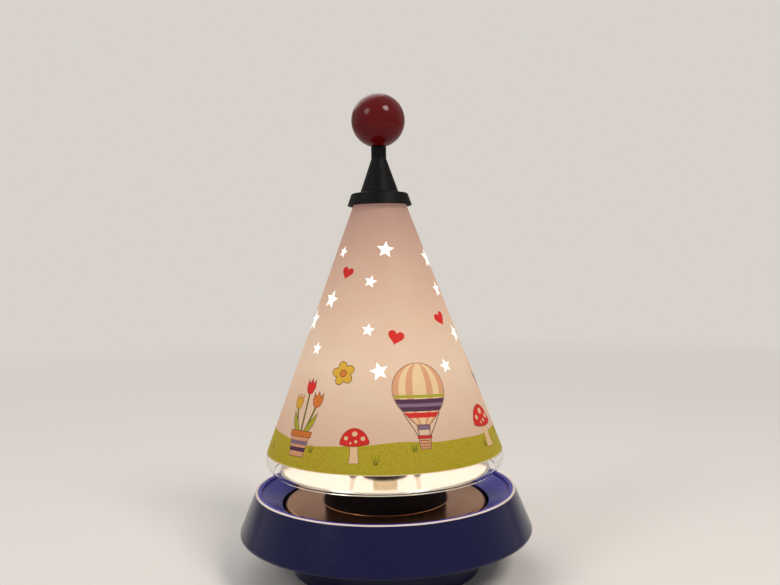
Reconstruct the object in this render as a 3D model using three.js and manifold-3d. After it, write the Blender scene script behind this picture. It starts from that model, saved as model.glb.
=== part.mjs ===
// Carousel projector lamp: a printed cone of a shade turns on a needle above a small screw bulb.
// Millimetres, +Z up, origin on the table under the middle of the foot, front towards -Y.
import * as THREE from "three";
import { mergeVertices } from "three/addons/utils/BufferGeometryUtils.js";
import Module from "manifold-3d";

const wasm = await Module();
wasm.setup();

// Driving dimensions: the gap kept between two pieces that touch, and the overrun of a cut
const seat = 0.3;
const overrun = 1;

// Driving dimensions: foot
const padHeight = 2.7;
const padRadius = 6;
const padInset = 14.1;
const padCount = 4;
const padStartDegrees = 45;
const footRadius = 58.1;
const footHeight = 23;
const footWall = 2.5;
const footCorner = 1;
const coverThickness = 2;
const coverRecess = 1;
const postRadius = 4;
const postInset = 10.1;
const postCount = 3;
const postStartDegrees = 30;
const inletHeight = 13.5;
const inletBore = 3.4;
const inletWall = 1.4;
const inletLip = 1.8;
const inletLipLength = 2.2;

// Driving dimensions: screws
const screwRadius = 1.5;
const screwHeadRadius = 2.9;
const screwHeadHeight = 1.9;
const coverScrewLength = 9;
const ringScrewLength = 6;
const ringScrewPlaceRadius = 30;
const ringScrewCount = 3;
const ringScrewStartDegrees = 30;

// Driving dimensions: wiring in the foot
const blockWidth = 17;
const blockLength = 15;
const blockHeight = 10;
const blockPlace = 27;
const blockBore = 1.9;
const leadRadius = 1.1;
const leadSpacing = 3;

// Driving dimensions: ring round the foot, and the well that hangs in its rim
const ringRadius = 90;
const ringRimRadius = 80.3;
const ringHeight = 25.2;
const ringWall = 2.6;
const ringRimWidth = 3.6;
const ringRimDepth = 4.4;
const ringCorner = 1.4;
const ringWellRadius = 65.1;
const ringWellDepth = 7;
const ringBossHeight = 13.7;
const ringBossRadius = 16.5;
const ringBossWall = 3;

// Driving dimensions: metal disc, pedestal and mirror plate
const discRadius = 62.5;
const discThickness = 1;
const discRoll = 2.6;
const pedestalRadius = 38.2;
const pedestalHeight = 19.5;
const pedestalWall = 2;
const pedestalCorner = 0.8;
const mirrorRadius = 65;
const mirrorThickness = 1.2;
const mirrorRoll = 1.8;

// Driving dimensions: lampholder and its fixing
const tubeRadius = 5;
const tubeWall = 1;
const tubeBelowFoot = 11;
const tubeInHolder = 6;
const washerRadius = 9.5;
const washerThickness = 1;
const nutFlats = 14;
const nutHeight = 4;
const holderRadius = 11.5;
const holderSkirtRadius = 12.6;
const holderSkirtLength = 20;
const holderWall = 3.6;
const holderPartition = 9.5;
const holderAboveMirror = 5.8;
const holderChamfer = 1;
const collarRadius = 14.4;
const collarHeight = 7.4;
const collarChamfer = 0.7;
const shellWall = 0.8;
const shellMouthDepth = 3.5;
const tongueThickness = 0.5;
const tongueHeight = 2.2;
const tongueWidth = 4;

// Driving dimensions: bulb with a small screw cap
const capThreadRadius = 6.95;
const capThreadDepth = 0.5;
const capThreadPitch = 2.8;
const capThreadTurns = 5;
const capInsertion = 20;
const capSheet = 0.55;
const capSkirtRadius = 7.85;
const capSkirtLength = 10;
const capShoulder = 2.5;
const capRingPitch = 1.6;
const capRingCount = 3;
const capRingDepth = 0.3;
const insulatorHeight = 1.7;
const tipRadius = 2.3;
const tipHeight = 0.8;
const glassRadius = 17.5;
const glassHeight = 69;
const glassWall = 0.8;
const glassInCap = 9;
const stemRadius = 2.2;
const stemFoot = 4;
const stemHeight = 28;
const filamentRise = 26;
const filamentSpan = 15;
const filamentWire = 0.4;

// Driving dimensions: needle bracket
const bowWire = 1.1;
const bowFootSpread = 20;
const bowSpread = 24;
const bushRadius = 3.2;
const bushHeight = 8.3;
const needleHolderRadius = 3.5;
const needleHolderBelow = 4;
const needleHolderAbove = 6.5;
const needleRadius = 0.9;
const needleLength = 14.2;
const needleTip = 2.6;
const needleSocket = 3.7;

// Driving dimensions: shade
const shadeTopRadius = 15.7;
const shadeLowerRadius = 72.8;
const shadeHeight = 153.3;
const shadeWall = 0.8;
const shadeAboveMirror = 10.5;
const rimRadius = 73.4;
const rimLipRadius = 68.5;
const rimHeight = 12;
const rimWall = 1.2;

// Driving dimensions: turbine wheel, bearing and spindle
const cupRadius = 3.2;
const cupHeight = 6;
const cupMouth = 2.4;
const cupDepth = 3.3;
const hubWall = 2;
const hubHeight = 13.5;
const hubBelowShadeTop = 13.7;
const hubBelowCup = 0.5;
const hubPartition = 1.7;
const wheelRimHeight = 5;
const wheelRimWall = 1.2;
const wheelRimAboveHubFoot = 2.5;
const vaneCount = 9;
const vaneChord = 8;
const vaneThickness = 0.8;
const vanePitchDegrees = 35;
const spindleRadius = 1.5;
const spindleInBall = 7;
const spindleNutFlats = 5.5;
const spindleNutHeight = 2.4;

// Driving dimensions: finial and ball
const skirtLowerRadius = 20.25;
const skirtUpperRadius = 17.6;
const skirtHeight = 7.5;
const skirtWall = 1.6;
const skirtOverShade = 2.7;
const finialFootRadius = 12;
const finialNeckRadius = 4.7;
const finialConeHeight = 20.9;
const finialNeckHeight = 7.6;
const finialWall = 1.7;
const finialNeckGrip = 5;
const finialTopRise = 0.9;
const ballRadius = 16.8;
const ballBoreDepth = 8;

// Counts of sides and steps
const bodySides = 48;
const middleSides = 24;
const smallSides = 12;
const wireSides = 8;
const thinWireSides = 6;
const arcSteps = 4;
const rimSteps = 6;
const ballSteps = 12;
const leadSteps = 30;
const bowStepCount = 64;
const filamentSteps = 32;

// Vertices nearer than this are one
const weldDistance = 1e-3;

// Heights worked out from the foot upwards
const coverBottom = padHeight + seat;
const coverTop = coverBottom + coverThickness;
const footBottom = coverBottom - coverRecess;
const footTop = footBottom + footHeight;
const footCeiling = footTop - footWall;
const ringBottom = footTop + seat;
const ringTop = ringBottom + ringHeight;
const ringFloor = ringBottom + ringWall;
const ringBossTop = ringFloor + ringBossHeight;
const discBottom = ringBossTop + seat;
const discTop = discBottom + discThickness;
const pedestalBottom = discTop + seat;
const pedestalTop = pedestalBottom + pedestalHeight;
const mirrorBottom = pedestalTop + seat;
const mirrorTop = mirrorBottom + mirrorThickness;
const holderBottom = ringFloor + seat;
const holderTop = mirrorTop + holderAboveMirror;
const holderTubeTop = holderBottom + tubeInHolder + seat;
const socketFloor = holderTubeTop + holderPartition;
const capBottom = holderTop - capInsertion;
const capSkirtBottom = capBottom + capThreadTurns * capThreadPitch + capShoulder;
const capRingsBottom = capSkirtBottom + capSkirtLength;
const capTop = capRingsBottom + capRingCount * capRingPitch;
const glassTop = capTop + glassHeight;
const stemBottom = capTop - glassInCap + seat;
const stemTop = stemBottom + stemHeight;
const shadeBottom = mirrorTop + shadeAboveMirror;
const shadeTop = shadeBottom + shadeHeight;
const rimTop = shadeBottom - seat;
const hubTop = shadeTop - hubBelowShadeTop;
const hubBottom = hubTop - hubHeight;
const cupBottom = hubBottom + hubBelowCup;
const hubCupCeiling = cupBottom + cupHeight + seat;
const spindleBottom = hubCupCeiling + hubPartition + seat;
const needleTop = cupBottom + cupDepth - seat;
const needleBottom = needleTop - needleLength;
const needleHolderTop = needleBottom - seat + needleSocket;
const bowTop = needleHolderTop - needleHolderAbove;
const bowBottom = mirrorTop + seat;
const bowHeight = bowTop - bowBottom;
const skirtBottom = shadeTop - skirtOverShade;
const skirtTop = skirtBottom + skirtHeight;
const skirtCeiling = skirtTop - skirtWall;
const finialFoot = skirtTop + finialTopRise;
const finialNeckBottom = finialFoot + finialConeHeight;
const finialTop = finialNeckBottom + finialNeckHeight;
const ballFlat = finialTop + seat;
const ballCentre = ballFlat + Math.sqrt(ballRadius ** 2 - finialNeckRadius ** 2);
const spindleTop = ballFlat + spindleInBall;

// Radii that follow a neighbour
const tubeHole = tubeRadius + seat;
const hubRadius = cupRadius + seat + hubWall;
const spindleHole = spindleRadius + seat;
const shadeSlope = (shadeLowerRadius - shadeTopRadius) / shadeHeight;
const shadeWallAcross = shadeWall * Math.hypot(1, shadeSlope);
const shadeInside = (z) => shadeLowerRadius - (z - shadeBottom) * shadeSlope - shadeWallAcross;

// Solids

// Closed outline of [radius, height] points turned about +Z; an outline on the axis starts and ends there.
function turned(outline, sides = bodySides) {
  const area = outline.reduce((sum, [r, z], i) => {
    const [nextR, nextZ] = outline[(i + 1) % outline.length];
    return sum + r * nextZ - nextR * z;
  }, 0);
  const ordered = area > 0 ? [...outline] : [...outline].reverse();
  const axisStart = ordered.findIndex(([r], i) => {
    const [before] = ordered[(i + ordered.length - 1) % ordered.length];
    return r === 0 && before === 0;
  });
  if (axisStart < 0) {
    ordered.push(ordered[0]);
  } else {
    ordered.push(...ordered.splice(0, axisStart));
  }
  const points = ordered.map(([r, z]) => new THREE.Vector2(r, z));
  return new THREE.LatheGeometry(points, sides).rotateX(Math.PI / 2);
}

// Points of an arc about a centre, angles in quarter turns from the outward direction.
function arc(centreR, centreZ, radius, fromQuarter, toQuarter, steps = arcSteps) {
  return Array.from({ length: steps + 1 }, (_, i) => {
    const angle = (fromQuarter + ((toQuarter - fromQuarter) * i) / steps) * (Math.PI / 2);
    return [centreR + radius * Math.cos(angle), centreZ + radius * Math.sin(angle)];
  });
}

// Upright cylinder between two heights, or a cone with another radius at its top.
function post(radius, low, high, sides = smallSides, topRadius = radius) {
  const height = high - low;
  return new THREE.CylinderGeometry(topRadius, radius, height, sides)
    .rotateX(Math.PI / 2)
    .translate(0, 0, (low + high) / 2);
}

function ringPost(radius, bore, low, high, sides = smallSides) {
  return turned([[bore, low], [radius, low], [radius, high], [bore, high]], sides);
}

function wireAlong(points, radius, steps, sides = wireSides) {
  const circle = new THREE.Shape().absarc(0, 0, radius, 0, 2 * Math.PI);
  const path = new THREE.CatmullRomCurve3(points, false, "centripetal");
  return new THREE.ExtrudeGeometry(circle, {
    steps,
    curveSegments: sides / 2,
    bevelEnabled: false,
    extrudePath: path,
  });
}

function manifoldOf(geometry) {
  const bare = geometry.index ? geometry.toNonIndexed() : geometry.clone();
  bare.deleteAttribute("normal");
  bare.deleteAttribute("uv");
  const merged = mergeVertices(bare, weldDistance);
  return new wasm.Manifold(
    new wasm.Mesh({
      numProp: 3,
      vertProperties: merged.attributes.position.array,
      triVerts: new Uint32Array(merged.index.array),
    }),
  );
}

function geometryOf(solid) {
  const mesh = solid.getMesh();
  const geometry = new THREE.BufferGeometry();
  geometry.setAttribute("position", new THREE.BufferAttribute(mesh.vertProperties, 3));
  geometry.setIndex(new THREE.BufferAttribute(mesh.triVerts, 1));
  geometry.computeVertexNormals();
  return geometry;
}

function joined(...geometries) {
  return geometryOf(geometries.map(manifoldOf).reduce((whole, part) => whole.add(part)));
}

function cut(geometry, ...tools) {
  const blank = manifoldOf(geometry);
  return geometryOf(tools.map(manifoldOf).reduce((rest, tool) => rest.subtract(tool), blank));
}

// Places spread evenly on a circle: angle, x and y of each.
function places(count, radius, startDegrees) {
  return Array.from({ length: count }, (_, i) => {
    const angle = THREE.MathUtils.degToRad(startDegrees + (360 * i) / count);
    return { angle, x: radius * Math.cos(angle), y: radius * Math.sin(angle) };
  });
}

const padPlaces = places(padCount, footRadius - padInset, padStartDegrees);
const postPlaces = places(postCount, footRadius - postInset, postStartDegrees);
const ringScrewPlaces = places(ringScrewCount, ringScrewPlaceRadius, ringScrewStartDegrees);

// Materials
function finish(color, roughness, metalness = 0, opacity = 1) {
  return new THREE.MeshStandardMaterial({ color, roughness, metalness, opacity, transparent: opacity < 1 });
}

const bluePlastic = finish(0x1c2466, 0.3);
const blackPlastic = finish(0x131314, 0.45);
const blackRubber = finish(0x1b1b1c, 0.8);
const polishedSteel = finish(0xb9b2a8, 0.18, 1);
const mirrorFinish = finish(0xf4efe4, 0.06, 1);
const zincSteel = finish(0xa9abad, 0.4, 1);
const brass = finish(0xc9a661, 0.3, 1);
const nickel = finish(0xc9c2b0, 0.25, 1);
const whitePlastic = finish(0xe9e4d8, 0.5);
const clearGlass = finish(0xf5f7f6, 0.03, 0, 0.3);
const clearPlastic = finish(0xf7f3ea, 0.08, 0, 0.35);
const shadePrint = finish(0xf1dccb, 0.4);
const redLacquer = finish(0x7c1216, 0.15);
const tungsten = finish(0xffd9a0, 0.5, 1);

const lamp = new THREE.Group();

function add(name, geometry, material, x = 0, y = 0, z = 0) {
  const mesh = new THREE.Mesh(geometry, material);
  mesh.name = name;
  mesh.position.set(x, y, z);
  lamp.add(mesh);
  return mesh;
}

// Foot
function footHousing() {
  const inner = footRadius - footWall;
  const shell = turned([
    [inner, footBottom],
    [footRadius, footBottom],
    ...arc(footRadius - footCorner, footTop - footCorner, footCorner, 0, 1, 2),
    [tubeHole, footTop],
    [tubeHole, footCeiling],
    [inner, footCeiling],
  ]);
  const posts = postPlaces.map(({ x, y }) =>
    post(postRadius, coverTop + seat, footCeiling + footWall / 2).translate(x, y, 0));
  const tapped = postPlaces.map(({ x, y }) =>
    post(screwRadius + seat, coverBottom, coverBottom + coverScrewLength + overrun).translate(x, y, 0));
  const clearance = ringScrewPlaces.map(({ x, y }) =>
    post(screwRadius + seat, footCeiling - overrun, footTop + overrun).translate(x, y, 0));
  const inletHole = new THREE.CylinderGeometry(
    inletBore + inletWall + seat,
    inletBore + inletWall + seat,
    footWall * 2,
    smallSides,
  ).translate(0, footRadius - footWall / 2, inletHeight);
  return cut(joined(shell, ...posts), ...tapped, ...clearance, inletHole);
}

function footCover() {
  const plate = post(footRadius - footWall - seat, coverBottom, coverTop, bodySides);
  const holes = postPlaces.map(({ x, y }) =>
    post(screwRadius + seat, coverBottom - overrun, coverTop + overrun).translate(x, y, 0));
  return cut(plate, ...holes);
}

// Pan-head screw standing up from its head, origin under the joint's face.
function panScrew(length) {
  const dome = screwHeadHeight / 2;
  return turned([
    [0, -screwHeadHeight],
    [screwHeadRadius - dome, -screwHeadHeight],
    [screwHeadRadius, -dome],
    [screwHeadRadius, 0],
    [screwRadius, 0],
    [screwRadius, length - screwRadius],
    [0, length],
  ], smallSides);
}

function rubberPad() {
  const chamfer = padHeight / 4;
  return turned([
    [0, 0],
    [padRadius - chamfer, 0],
    [padRadius, chamfer],
    [padRadius, padHeight],
    [0, padHeight],
  ], smallSides);
}

// Bush with a lip on each side of the foot's wall, turned about the cord's way out.
function cableInlet() {
  const body = inletBore + inletWall;
  const lip = body + inletLip;
  const outside = footRadius + seat;
  const inside = Math.sqrt((footRadius - footWall) ** 2 - lip ** 2) - seat;
  return new THREE.LatheGeometry(
    [
      [inletBore, inside - inletLipLength],
      [lip, inside - inletLipLength],
      [lip, inside],
      [body, inside],
      [body, outside],
      [lip, outside],
      [lip - inletLip / 2, outside + inletLipLength],
      [inletBore, outside + inletLipLength],
      [inletBore, inside - inletLipLength],
    ].map(([r, y]) => new THREE.Vector2(r, y)),
    smallSides,
  );
}

// Two-pole block: two barrels side by side with a wire bore through each.
function terminalBlock() {
  const half = blockWidth / 2;
  const valleyShare = 0.7;
  const shape = new THREE.Shape([
    new THREE.Vector2(-half, 0),
    new THREE.Vector2(half, 0),
    new THREE.Vector2(half, blockHeight * valleyShare),
    new THREE.Vector2(half / 2, blockHeight),
    new THREE.Vector2(0, blockHeight * valleyShare),
    new THREE.Vector2(-half / 2, blockHeight),
    new THREE.Vector2(-half, blockHeight * valleyShare),
  ]);
  const body = new THREE.ExtrudeGeometry(shape, { depth: blockLength, bevelEnabled: false })
    .rotateX(Math.PI / 2)
    .translate(0, blockPlace + blockLength / 2, coverTop + seat);
  const bores = [-1, 1].map((side) =>
    new THREE.CylinderGeometry(blockBore, blockBore, blockLength + 2 * overrun, smallSides)
      .translate((side * half) / 2, blockPlace, coverTop + seat + blockHeight / 2));
  return cut(body, ...bores);
}

// Lead from a bore of the block, across the foot and up the tube to the socket.
function innerLead(side) {
  const blockX = (side * blockWidth) / 4;
  const tubeX = (side * leadSpacing) / 2;
  const blockZ = coverTop + seat + blockHeight / 2;
  const blockFront = blockPlace - blockLength / 2;
  const tubeFoot = footTop - tubeBelowFoot;
  const bendShare = 0.7;
  const turnShare = 0.2;
  const points = [
    new THREE.Vector3(blockX, blockPlace, blockZ),
    new THREE.Vector3(blockX, blockFront, blockZ),
    new THREE.Vector3(blockX, blockFront * bendShare, blockZ),
    new THREE.Vector3(tubeX, blockFront * turnShare, (blockZ + tubeFoot) / 2),
    new THREE.Vector3(tubeX, 0, tubeFoot + tubeWall),
    new THREE.Vector3(tubeX, 0, (tubeFoot + holderTubeTop) / 2),
    new THREE.Vector3(tubeX, 0, holderTubeTop),
    new THREE.Vector3(tubeX, 0, socketFloor),
  ];
  return wireAlong(points, leadRadius, leadSteps);
}

// Ring: sloping outer wall under a rounded rim.
function baseRing() {
  const rimInside = ringRimRadius - ringRimWidth;
  const rimRound = ringRimWidth / 2;
  return turned([
    ...arc(ringRadius - ringCorner, ringBottom + ringCorner, ringCorner, -1, 0, 3),
    ...arc(rimInside + rimRound, ringTop - rimRound, rimRound, 0, 2, rimSteps),
    [rimInside, ringTop - ringRimDepth],
    [ringRadius - ringWall, ringBottom],
  ]);
}

// Well: funnel inside the rim, then a wall down to a floor with a boss.
function ringWell() {
  const edge = ringRimRadius - ringRimWidth - seat;
  const funnelFoot = ringTop - ringWellDepth;
  const funnelUnderShare = 0.6;
  const shell = turned([
    [edge, ringTop - ringRimWidth / 2],
    [ringWellRadius, funnelFoot],
    [ringWellRadius, ringFloor],
    [ringBossRadius, ringFloor],
    [ringBossRadius, ringBossTop],
    [ringBossRadius - ringBossWall, ringBossTop],
    [ringBossRadius - ringBossWall, ringFloor],
    [tubeHole, ringFloor],
    [tubeHole, ringBottom],
    [ringWellRadius + ringWall, ringBottom],
    [ringWellRadius + ringWall, funnelFoot - ringWall * funnelUnderShare],
    [edge, ringTop - ringRimDepth],
  ]);
  const tapped = ringScrewPlaces.map(({ x, y }) =>
    post(screwRadius + seat, ringBottom - overrun, ringFloor + overrun).translate(x, y, 0));
  return cut(shell, ...tapped);
}

// Metal disc in the well, its edge rolled downwards.
function metalDisc() {
  const flat = discRadius - discRoll;
  return turned([
    [holderRadius + seat, discBottom],
    [holderRadius + seat, discTop],
    ...arc(flat, discTop - discRoll, discRoll, 1, 0),
    ...arc(flat, discTop - discRoll, discRoll - discThickness, 0, 1),
  ]);
}

function pedestal() {
  const inner = pedestalRadius - pedestalWall;
  const mouth = holderSkirtRadius + seat;
  return turned([
    [inner, pedestalBottom],
    [pedestalRadius, pedestalBottom],
    ...arc(pedestalRadius - pedestalCorner, pedestalTop - pedestalCorner, pedestalCorner, 0, 1, 2),
    [mouth, pedestalTop],
    [mouth, pedestalTop - pedestalWall],
    [inner, pedestalTop - pedestalWall],
  ]);
}

// Mirror plate, its edge rolled downwards round the pedestal's top.
function mirrorPlate() {
  const flat = mirrorRadius - mirrorRoll;
  return turned([
    [holderSkirtRadius + seat, mirrorBottom],
    [holderSkirtRadius + seat, mirrorTop],
    ...arc(flat, mirrorTop - mirrorRoll, mirrorRoll, 1, 0, 3),
    ...arc(flat, mirrorTop - mirrorRoll, mirrorRoll - mirrorThickness, 0, 1, 2),
  ]);
}

// Lampholder and its fixing
function hexNut(flats, height, bore) {
  const corner = flats / 2 / Math.cos(Math.PI / 6);
  return cut(post(corner, 0, height, 6), post(bore, -overrun, height + overrun));
}

function holderBody() {
  const socketRadius = holderSkirtRadius - holderWall;
  const skirtBottomZ = holderTop - holderSkirtLength;
  const partitionBore = leadSpacing / 2 + leadRadius + seat;
  return turned([
    [tubeHole, holderBottom],
    [holderRadius - holderChamfer, holderBottom],
    [holderRadius, holderBottom + holderChamfer],
    [holderRadius, skirtBottomZ],
    [holderSkirtRadius, skirtBottomZ + holderChamfer],
    [holderSkirtRadius, holderTop - holderChamfer],
    [holderSkirtRadius - holderChamfer, holderTop],
    [socketRadius, holderTop],
    [socketRadius, socketFloor],
    [partitionBore, socketFloor],
    [partitionBore, holderTubeTop],
    [tubeHole, holderTubeTop],
  ], middleSides);
}

function collarNut() {
  const bore = holderSkirtRadius + seat;
  const low = mirrorTop + seat;
  const high = low + collarHeight;
  return turned([
    [bore, low],
    [collarRadius, low],
    [collarRadius, high - collarChamfer],
    [collarRadius - collarChamfer, high],
    [bore, high],
  ], middleSides);
}

function socketShell() {
  const outer = holderSkirtRadius - holderWall - seat;
  return ringPost(outer, outer - shellWall, socketFloor + seat, holderTop - shellMouthDepth, middleSides);
}

// Spring tongue on the socket's floor, which rises to the middle.
function contactTongue() {
  const reach = holderSkirtRadius - holderWall - seat - shellWall - seat;
  const low = socketFloor + seat;
  const bendShare = 0.45;
  const shape = new THREE.Shape([
    new THREE.Vector2(-reach, low),
    new THREE.Vector2(-reach * bendShare, low),
    new THREE.Vector2(tipRadius, low + tongueHeight - tongueThickness),
    new THREE.Vector2(tipRadius, low + tongueHeight),
    new THREE.Vector2(-reach * bendShare, low + tongueThickness),
    new THREE.Vector2(-reach, low + tongueThickness),
  ]);
  return new THREE.ExtrudeGeometry(shape, { depth: tongueWidth, bevelEnabled: false })
    .rotateX(Math.PI / 2)
    .translate(0, tongueWidth / 2, 0);
}

// Bulb

// Rounded rings of one pitch along a sleeve, as points of its outline.
function ringed(radius, depth, low, pitch, count) {
  const crestShares = [0.3, 0.7];
  return Array.from({ length: count }, (_, i) => [
    [radius - depth, low + pitch * i],
    ...crestShares.map((share) => [radius, low + pitch * (i + share)]),
  ]).flat();
}

function bulbCap() {
  const threadTop = capBottom + capThreadTurns * capThreadPitch;
  const threadBore = capThreadRadius - capThreadDepth - capSheet;
  const skirtBore = capSkirtRadius - capSheet;
  return turned([
    [threadBore, capBottom],
    ...ringed(capThreadRadius, capThreadDepth, capBottom, capThreadPitch, capThreadTurns),
    [capThreadRadius - capThreadDepth, threadTop],
    [capSkirtRadius, capSkirtBottom],
    ...ringed(capSkirtRadius, capRingDepth, capRingsBottom, capRingPitch, capRingCount),
    [capSkirtRadius - capRingDepth, capTop],
    [skirtBore, capTop],
    [skirtBore, capSkirtBottom + capSheet],
    [threadBore, threadTop + capSheet],
  ], middleSides);
}

function bulbGlass() {
  const neck = capSkirtRadius - capSheet - seat;
  const neckBottom = capTop - glassInCap;
  const outlineShares = [
    [0.55, 0.09],
    [0.83, 0.23],
    [0.985, 0.38],
    [1, 0.47],
    [0.95, 0.6],
    [0.78, 0.76],
    [0.51, 0.9],
    [0.25, 0.97],
  ];
  const outer = outlineShares.map(([r, z]) => [r * glassRadius, capTop + z * glassHeight]);
  const inner = outer.map(([r, z]) => [r - glassWall, z - glassWall * (1 - r / glassRadius)]).reverse();
  return turned([
    [neck, neckBottom],
    [neck, capTop],
    ...outer,
    [0, glassTop],
    [0, glassTop - glassWall],
    ...inner,
    [neck - glassWall, capTop],
    [neck - glassWall, neckBottom],
  ], middleSides);
}

function glassStem() {
  const flare = capSkirtRadius - capSheet - seat - glassWall - seat;
  return turned([
    [0, stemBottom],
    [flare, stemBottom],
    [flare, stemBottom + glassWall],
    [stemRadius, stemBottom + stemFoot],
    [stemRadius, stemTop],
    [0, stemTop],
  ], smallSides);
}

function filament() {
  const half = filamentSpan / 2;
  const low = stemTop + seat;
  const pathShares = [
    [0.18, 0],
    [0.25, 0.12],
    [0.9, 0.72],
    [1, 0.88],
    [0.6, 0.98],
    [0, 1],
  ];
  const right = pathShares.map(([x, z]) => new THREE.Vector3(x * half, 0, low + z * filamentRise));
  const left = right.slice(0, -1).map(({ x, z }) => new THREE.Vector3(-x, 0, z));
  return wireAlong([...left, ...right.reverse()], filamentWire, filamentSteps, thinWireSides);
}

// Needle bracket
function bowPoints() {
  const spread = bowSpread - bowFootSpread;
  const footShares = [0, 0.03, 0.06];
  const legShares = [
    [0.15, 0.45],
    [0.3, 0.9],
    [0.45, 1],
    [0.62, 0.95],
  ];
  const headShares = [
    [0.76, 0.9],
    [0.87, 0.7],
    [0.955, 0.4],
    [0.99, 0.16],
    [1, 0],
  ];
  const right = [
    ...footShares.map((z) => [bowFootSpread, z]),
    ...legShares.map(([z, out]) => [bowFootSpread + spread * out, z]),
    ...headShares.map(([z, out]) => [bowSpread * out, z]),
  ].map(([x, z]) => new THREE.Vector3(x, 0, bowBottom + z * bowHeight));
  const left = right.slice(0, -1).map(({ x, z }) => new THREE.Vector3(-x, 0, z));
  return [...left, ...right.reverse()];
}

function needleHolder() {
  const body = post(needleHolderRadius, bowTop - needleHolderBelow, needleHolderTop);
  const tunnel = wireAlong(bowPoints(), bowWire + seat, bowStepCount);
  const socket = post(needleRadius + seat, needleHolderTop - needleSocket, needleHolderTop + overrun);
  return cut(body, tunnel, socket);
}

function needle() {
  return turned([
    [0, needleBottom],
    [needleRadius, needleBottom],
    [needleRadius, needleTop - needleTip],
    [0, needleTop],
  ], smallSides);
}

// Shade
function shadeCone() {
  return turned([
    [shadeLowerRadius - shadeWallAcross, shadeBottom],
    [shadeLowerRadius, shadeBottom],
    [shadeTopRadius, shadeTop],
    [shadeTopRadius - shadeWallAcross, shadeTop],
  ]);
}

// Clear rim: carries the cone's slope on, swells a little and curls in to a round lip.
function clearRim() {
  const outlineShares = [
    [0.35, 1],
    [0.62, 0.86],
    [0.83, 0.5],
    [1, 0],
  ];
  const curl = rimRadius - rimLipRadius;
  const outer = outlineShares.map(([down, out]) => [rimLipRadius + curl * out, rimTop - rimHeight * down]);
  const inner = outer.map(([r, z]) => [r - rimWall, z]).reverse();
  const start = shadeLowerRadius + seat * shadeSlope;
  return turned([[start, rimTop], ...outer, ...inner, [start - rimWall, rimTop]]);
}

// Turbine wheel: hub with a bore for the cup below and one for the spindle above, vanes and a rim.
function turbineWheel() {
  const rimLow = hubBottom + wheelRimAboveHubFoot;
  const rimHigh = rimLow + wheelRimHeight;
  const gap = seat * Math.hypot(1, shadeSlope);
  const hub = turned([
    [cupRadius + seat, hubBottom],
    [hubRadius, hubBottom],
    [hubRadius, hubTop],
    [spindleHole, hubTop],
    [spindleHole, hubCupCeiling + hubPartition],
    [0, hubCupCeiling + hubPartition],
    [0, hubCupCeiling],
    [cupRadius + seat, hubCupCeiling],
  ], smallSides);
  const rim = turned([
    [shadeInside(rimLow) - gap - wheelRimWall, rimLow],
    [shadeInside(rimLow) - gap, rimLow],
    [shadeInside(rimHigh) - gap, rimHigh],
    [shadeInside(rimHigh) - gap - wheelRimWall, rimHigh],
  ]);
  const inner = hubRadius - hubWall / 2;
  const outer = shadeInside(rimHigh) - gap - wheelRimWall / 2;
  const rootShare = 0.4;
  const shape = new THREE.Shape([
    new THREE.Vector2(inner, (-vaneChord * rootShare) / 2),
    new THREE.Vector2(outer, -vaneChord / 2),
    new THREE.Vector2(outer, vaneChord / 2),
    new THREE.Vector2(inner, (vaneChord * rootShare) / 2),
  ]);
  const vanes = places(vaneCount, 0, 0).map(({ angle }) =>
    new THREE.ExtrudeGeometry(shape, { depth: vaneThickness, bevelEnabled: false })
      .translate(0, 0, -vaneThickness / 2)
      .rotateX(THREE.MathUtils.degToRad(vanePitchDegrees))
      .rotateZ(angle)
      .translate(0, 0, (rimLow + rimHigh) / 2));
  return joined(hub, rim, ...vanes);
}

function bearingCup() {
  return turned([
    [0, cupBottom + cupDepth],
    [cupMouth, cupBottom],
    [cupRadius, cupBottom],
    [cupRadius, cupBottom + cupHeight],
    [0, cupBottom + cupHeight],
  ], smallSides);
}

// Finial: bell with an open skirt over the shade's top, a hollow cone and a neck.
function finial() {
  const innerFoot = finialFootRadius - finialWall;
  return turned([
    [skirtLowerRadius - skirtWall, skirtBottom],
    [skirtLowerRadius, skirtBottom],
    [skirtUpperRadius, skirtTop - skirtWall / 2],
    [skirtUpperRadius - skirtWall / 2, skirtTop],
    [finialFootRadius, finialFoot],
    [finialNeckRadius, finialNeckBottom],
    [finialNeckRadius, finialTop],
    [spindleHole, finialTop],
    [spindleHole, finialNeckBottom - finialNeckGrip],
    [innerFoot, skirtCeiling + finialTopRise],
    [skirtUpperRadius - skirtWall, skirtCeiling],
  ], middleSides);
}

function ball() {
  const flatAngle = Math.asin((ballFlat - ballCentre) / ballRadius) / (Math.PI / 2);
  return turned([
    [0, ballFlat + ballBoreDepth],
    [spindleHole, ballFlat + ballBoreDepth],
    [spindleHole, ballFlat],
    ...arc(0, ballCentre, ballRadius, flatAngle, 1, ballSteps).slice(0, -1),
    [0, ballCentre + ballRadius],
  ], middleSides);
}

// Foot group
add("foot_housing", footHousing(), bluePlastic);
add("foot_cover", footCover(), blackPlastic);
postPlaces.forEach(({ x, y }, i) => {
  add(`cover_screw_${i + 1}`, panScrew(coverScrewLength), zincSteel, x, y, coverBottom - seat);
});
padPlaces.forEach(({ x, y }, i) => {
  add(`rubber_pad_${i + 1}`, rubberPad(), blackRubber, x, y, 0);
});
add("cable_inlet", cableInlet(), blackRubber, 0, 0, inletHeight);
add("terminal_block", terminalBlock(), whitePlastic);
add("inner_lead_left", innerLead(-1), blackRubber);
add("inner_lead_right", innerLead(1), blackRubber);

// Ring group
add("base_ring", baseRing(), bluePlastic);
add("ring_well", ringWell(), bluePlastic);
ringScrewPlaces.forEach(({ x, y }, i) => {
  add(`ring_screw_${i + 1}`, panScrew(ringScrewLength), zincSteel, x, y, footCeiling - seat);
});
add("metal_disc", metalDisc(), polishedSteel);
add("pedestal", pedestal(), blackPlastic);
add("mirror_plate", mirrorPlate(), mirrorFinish);

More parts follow.
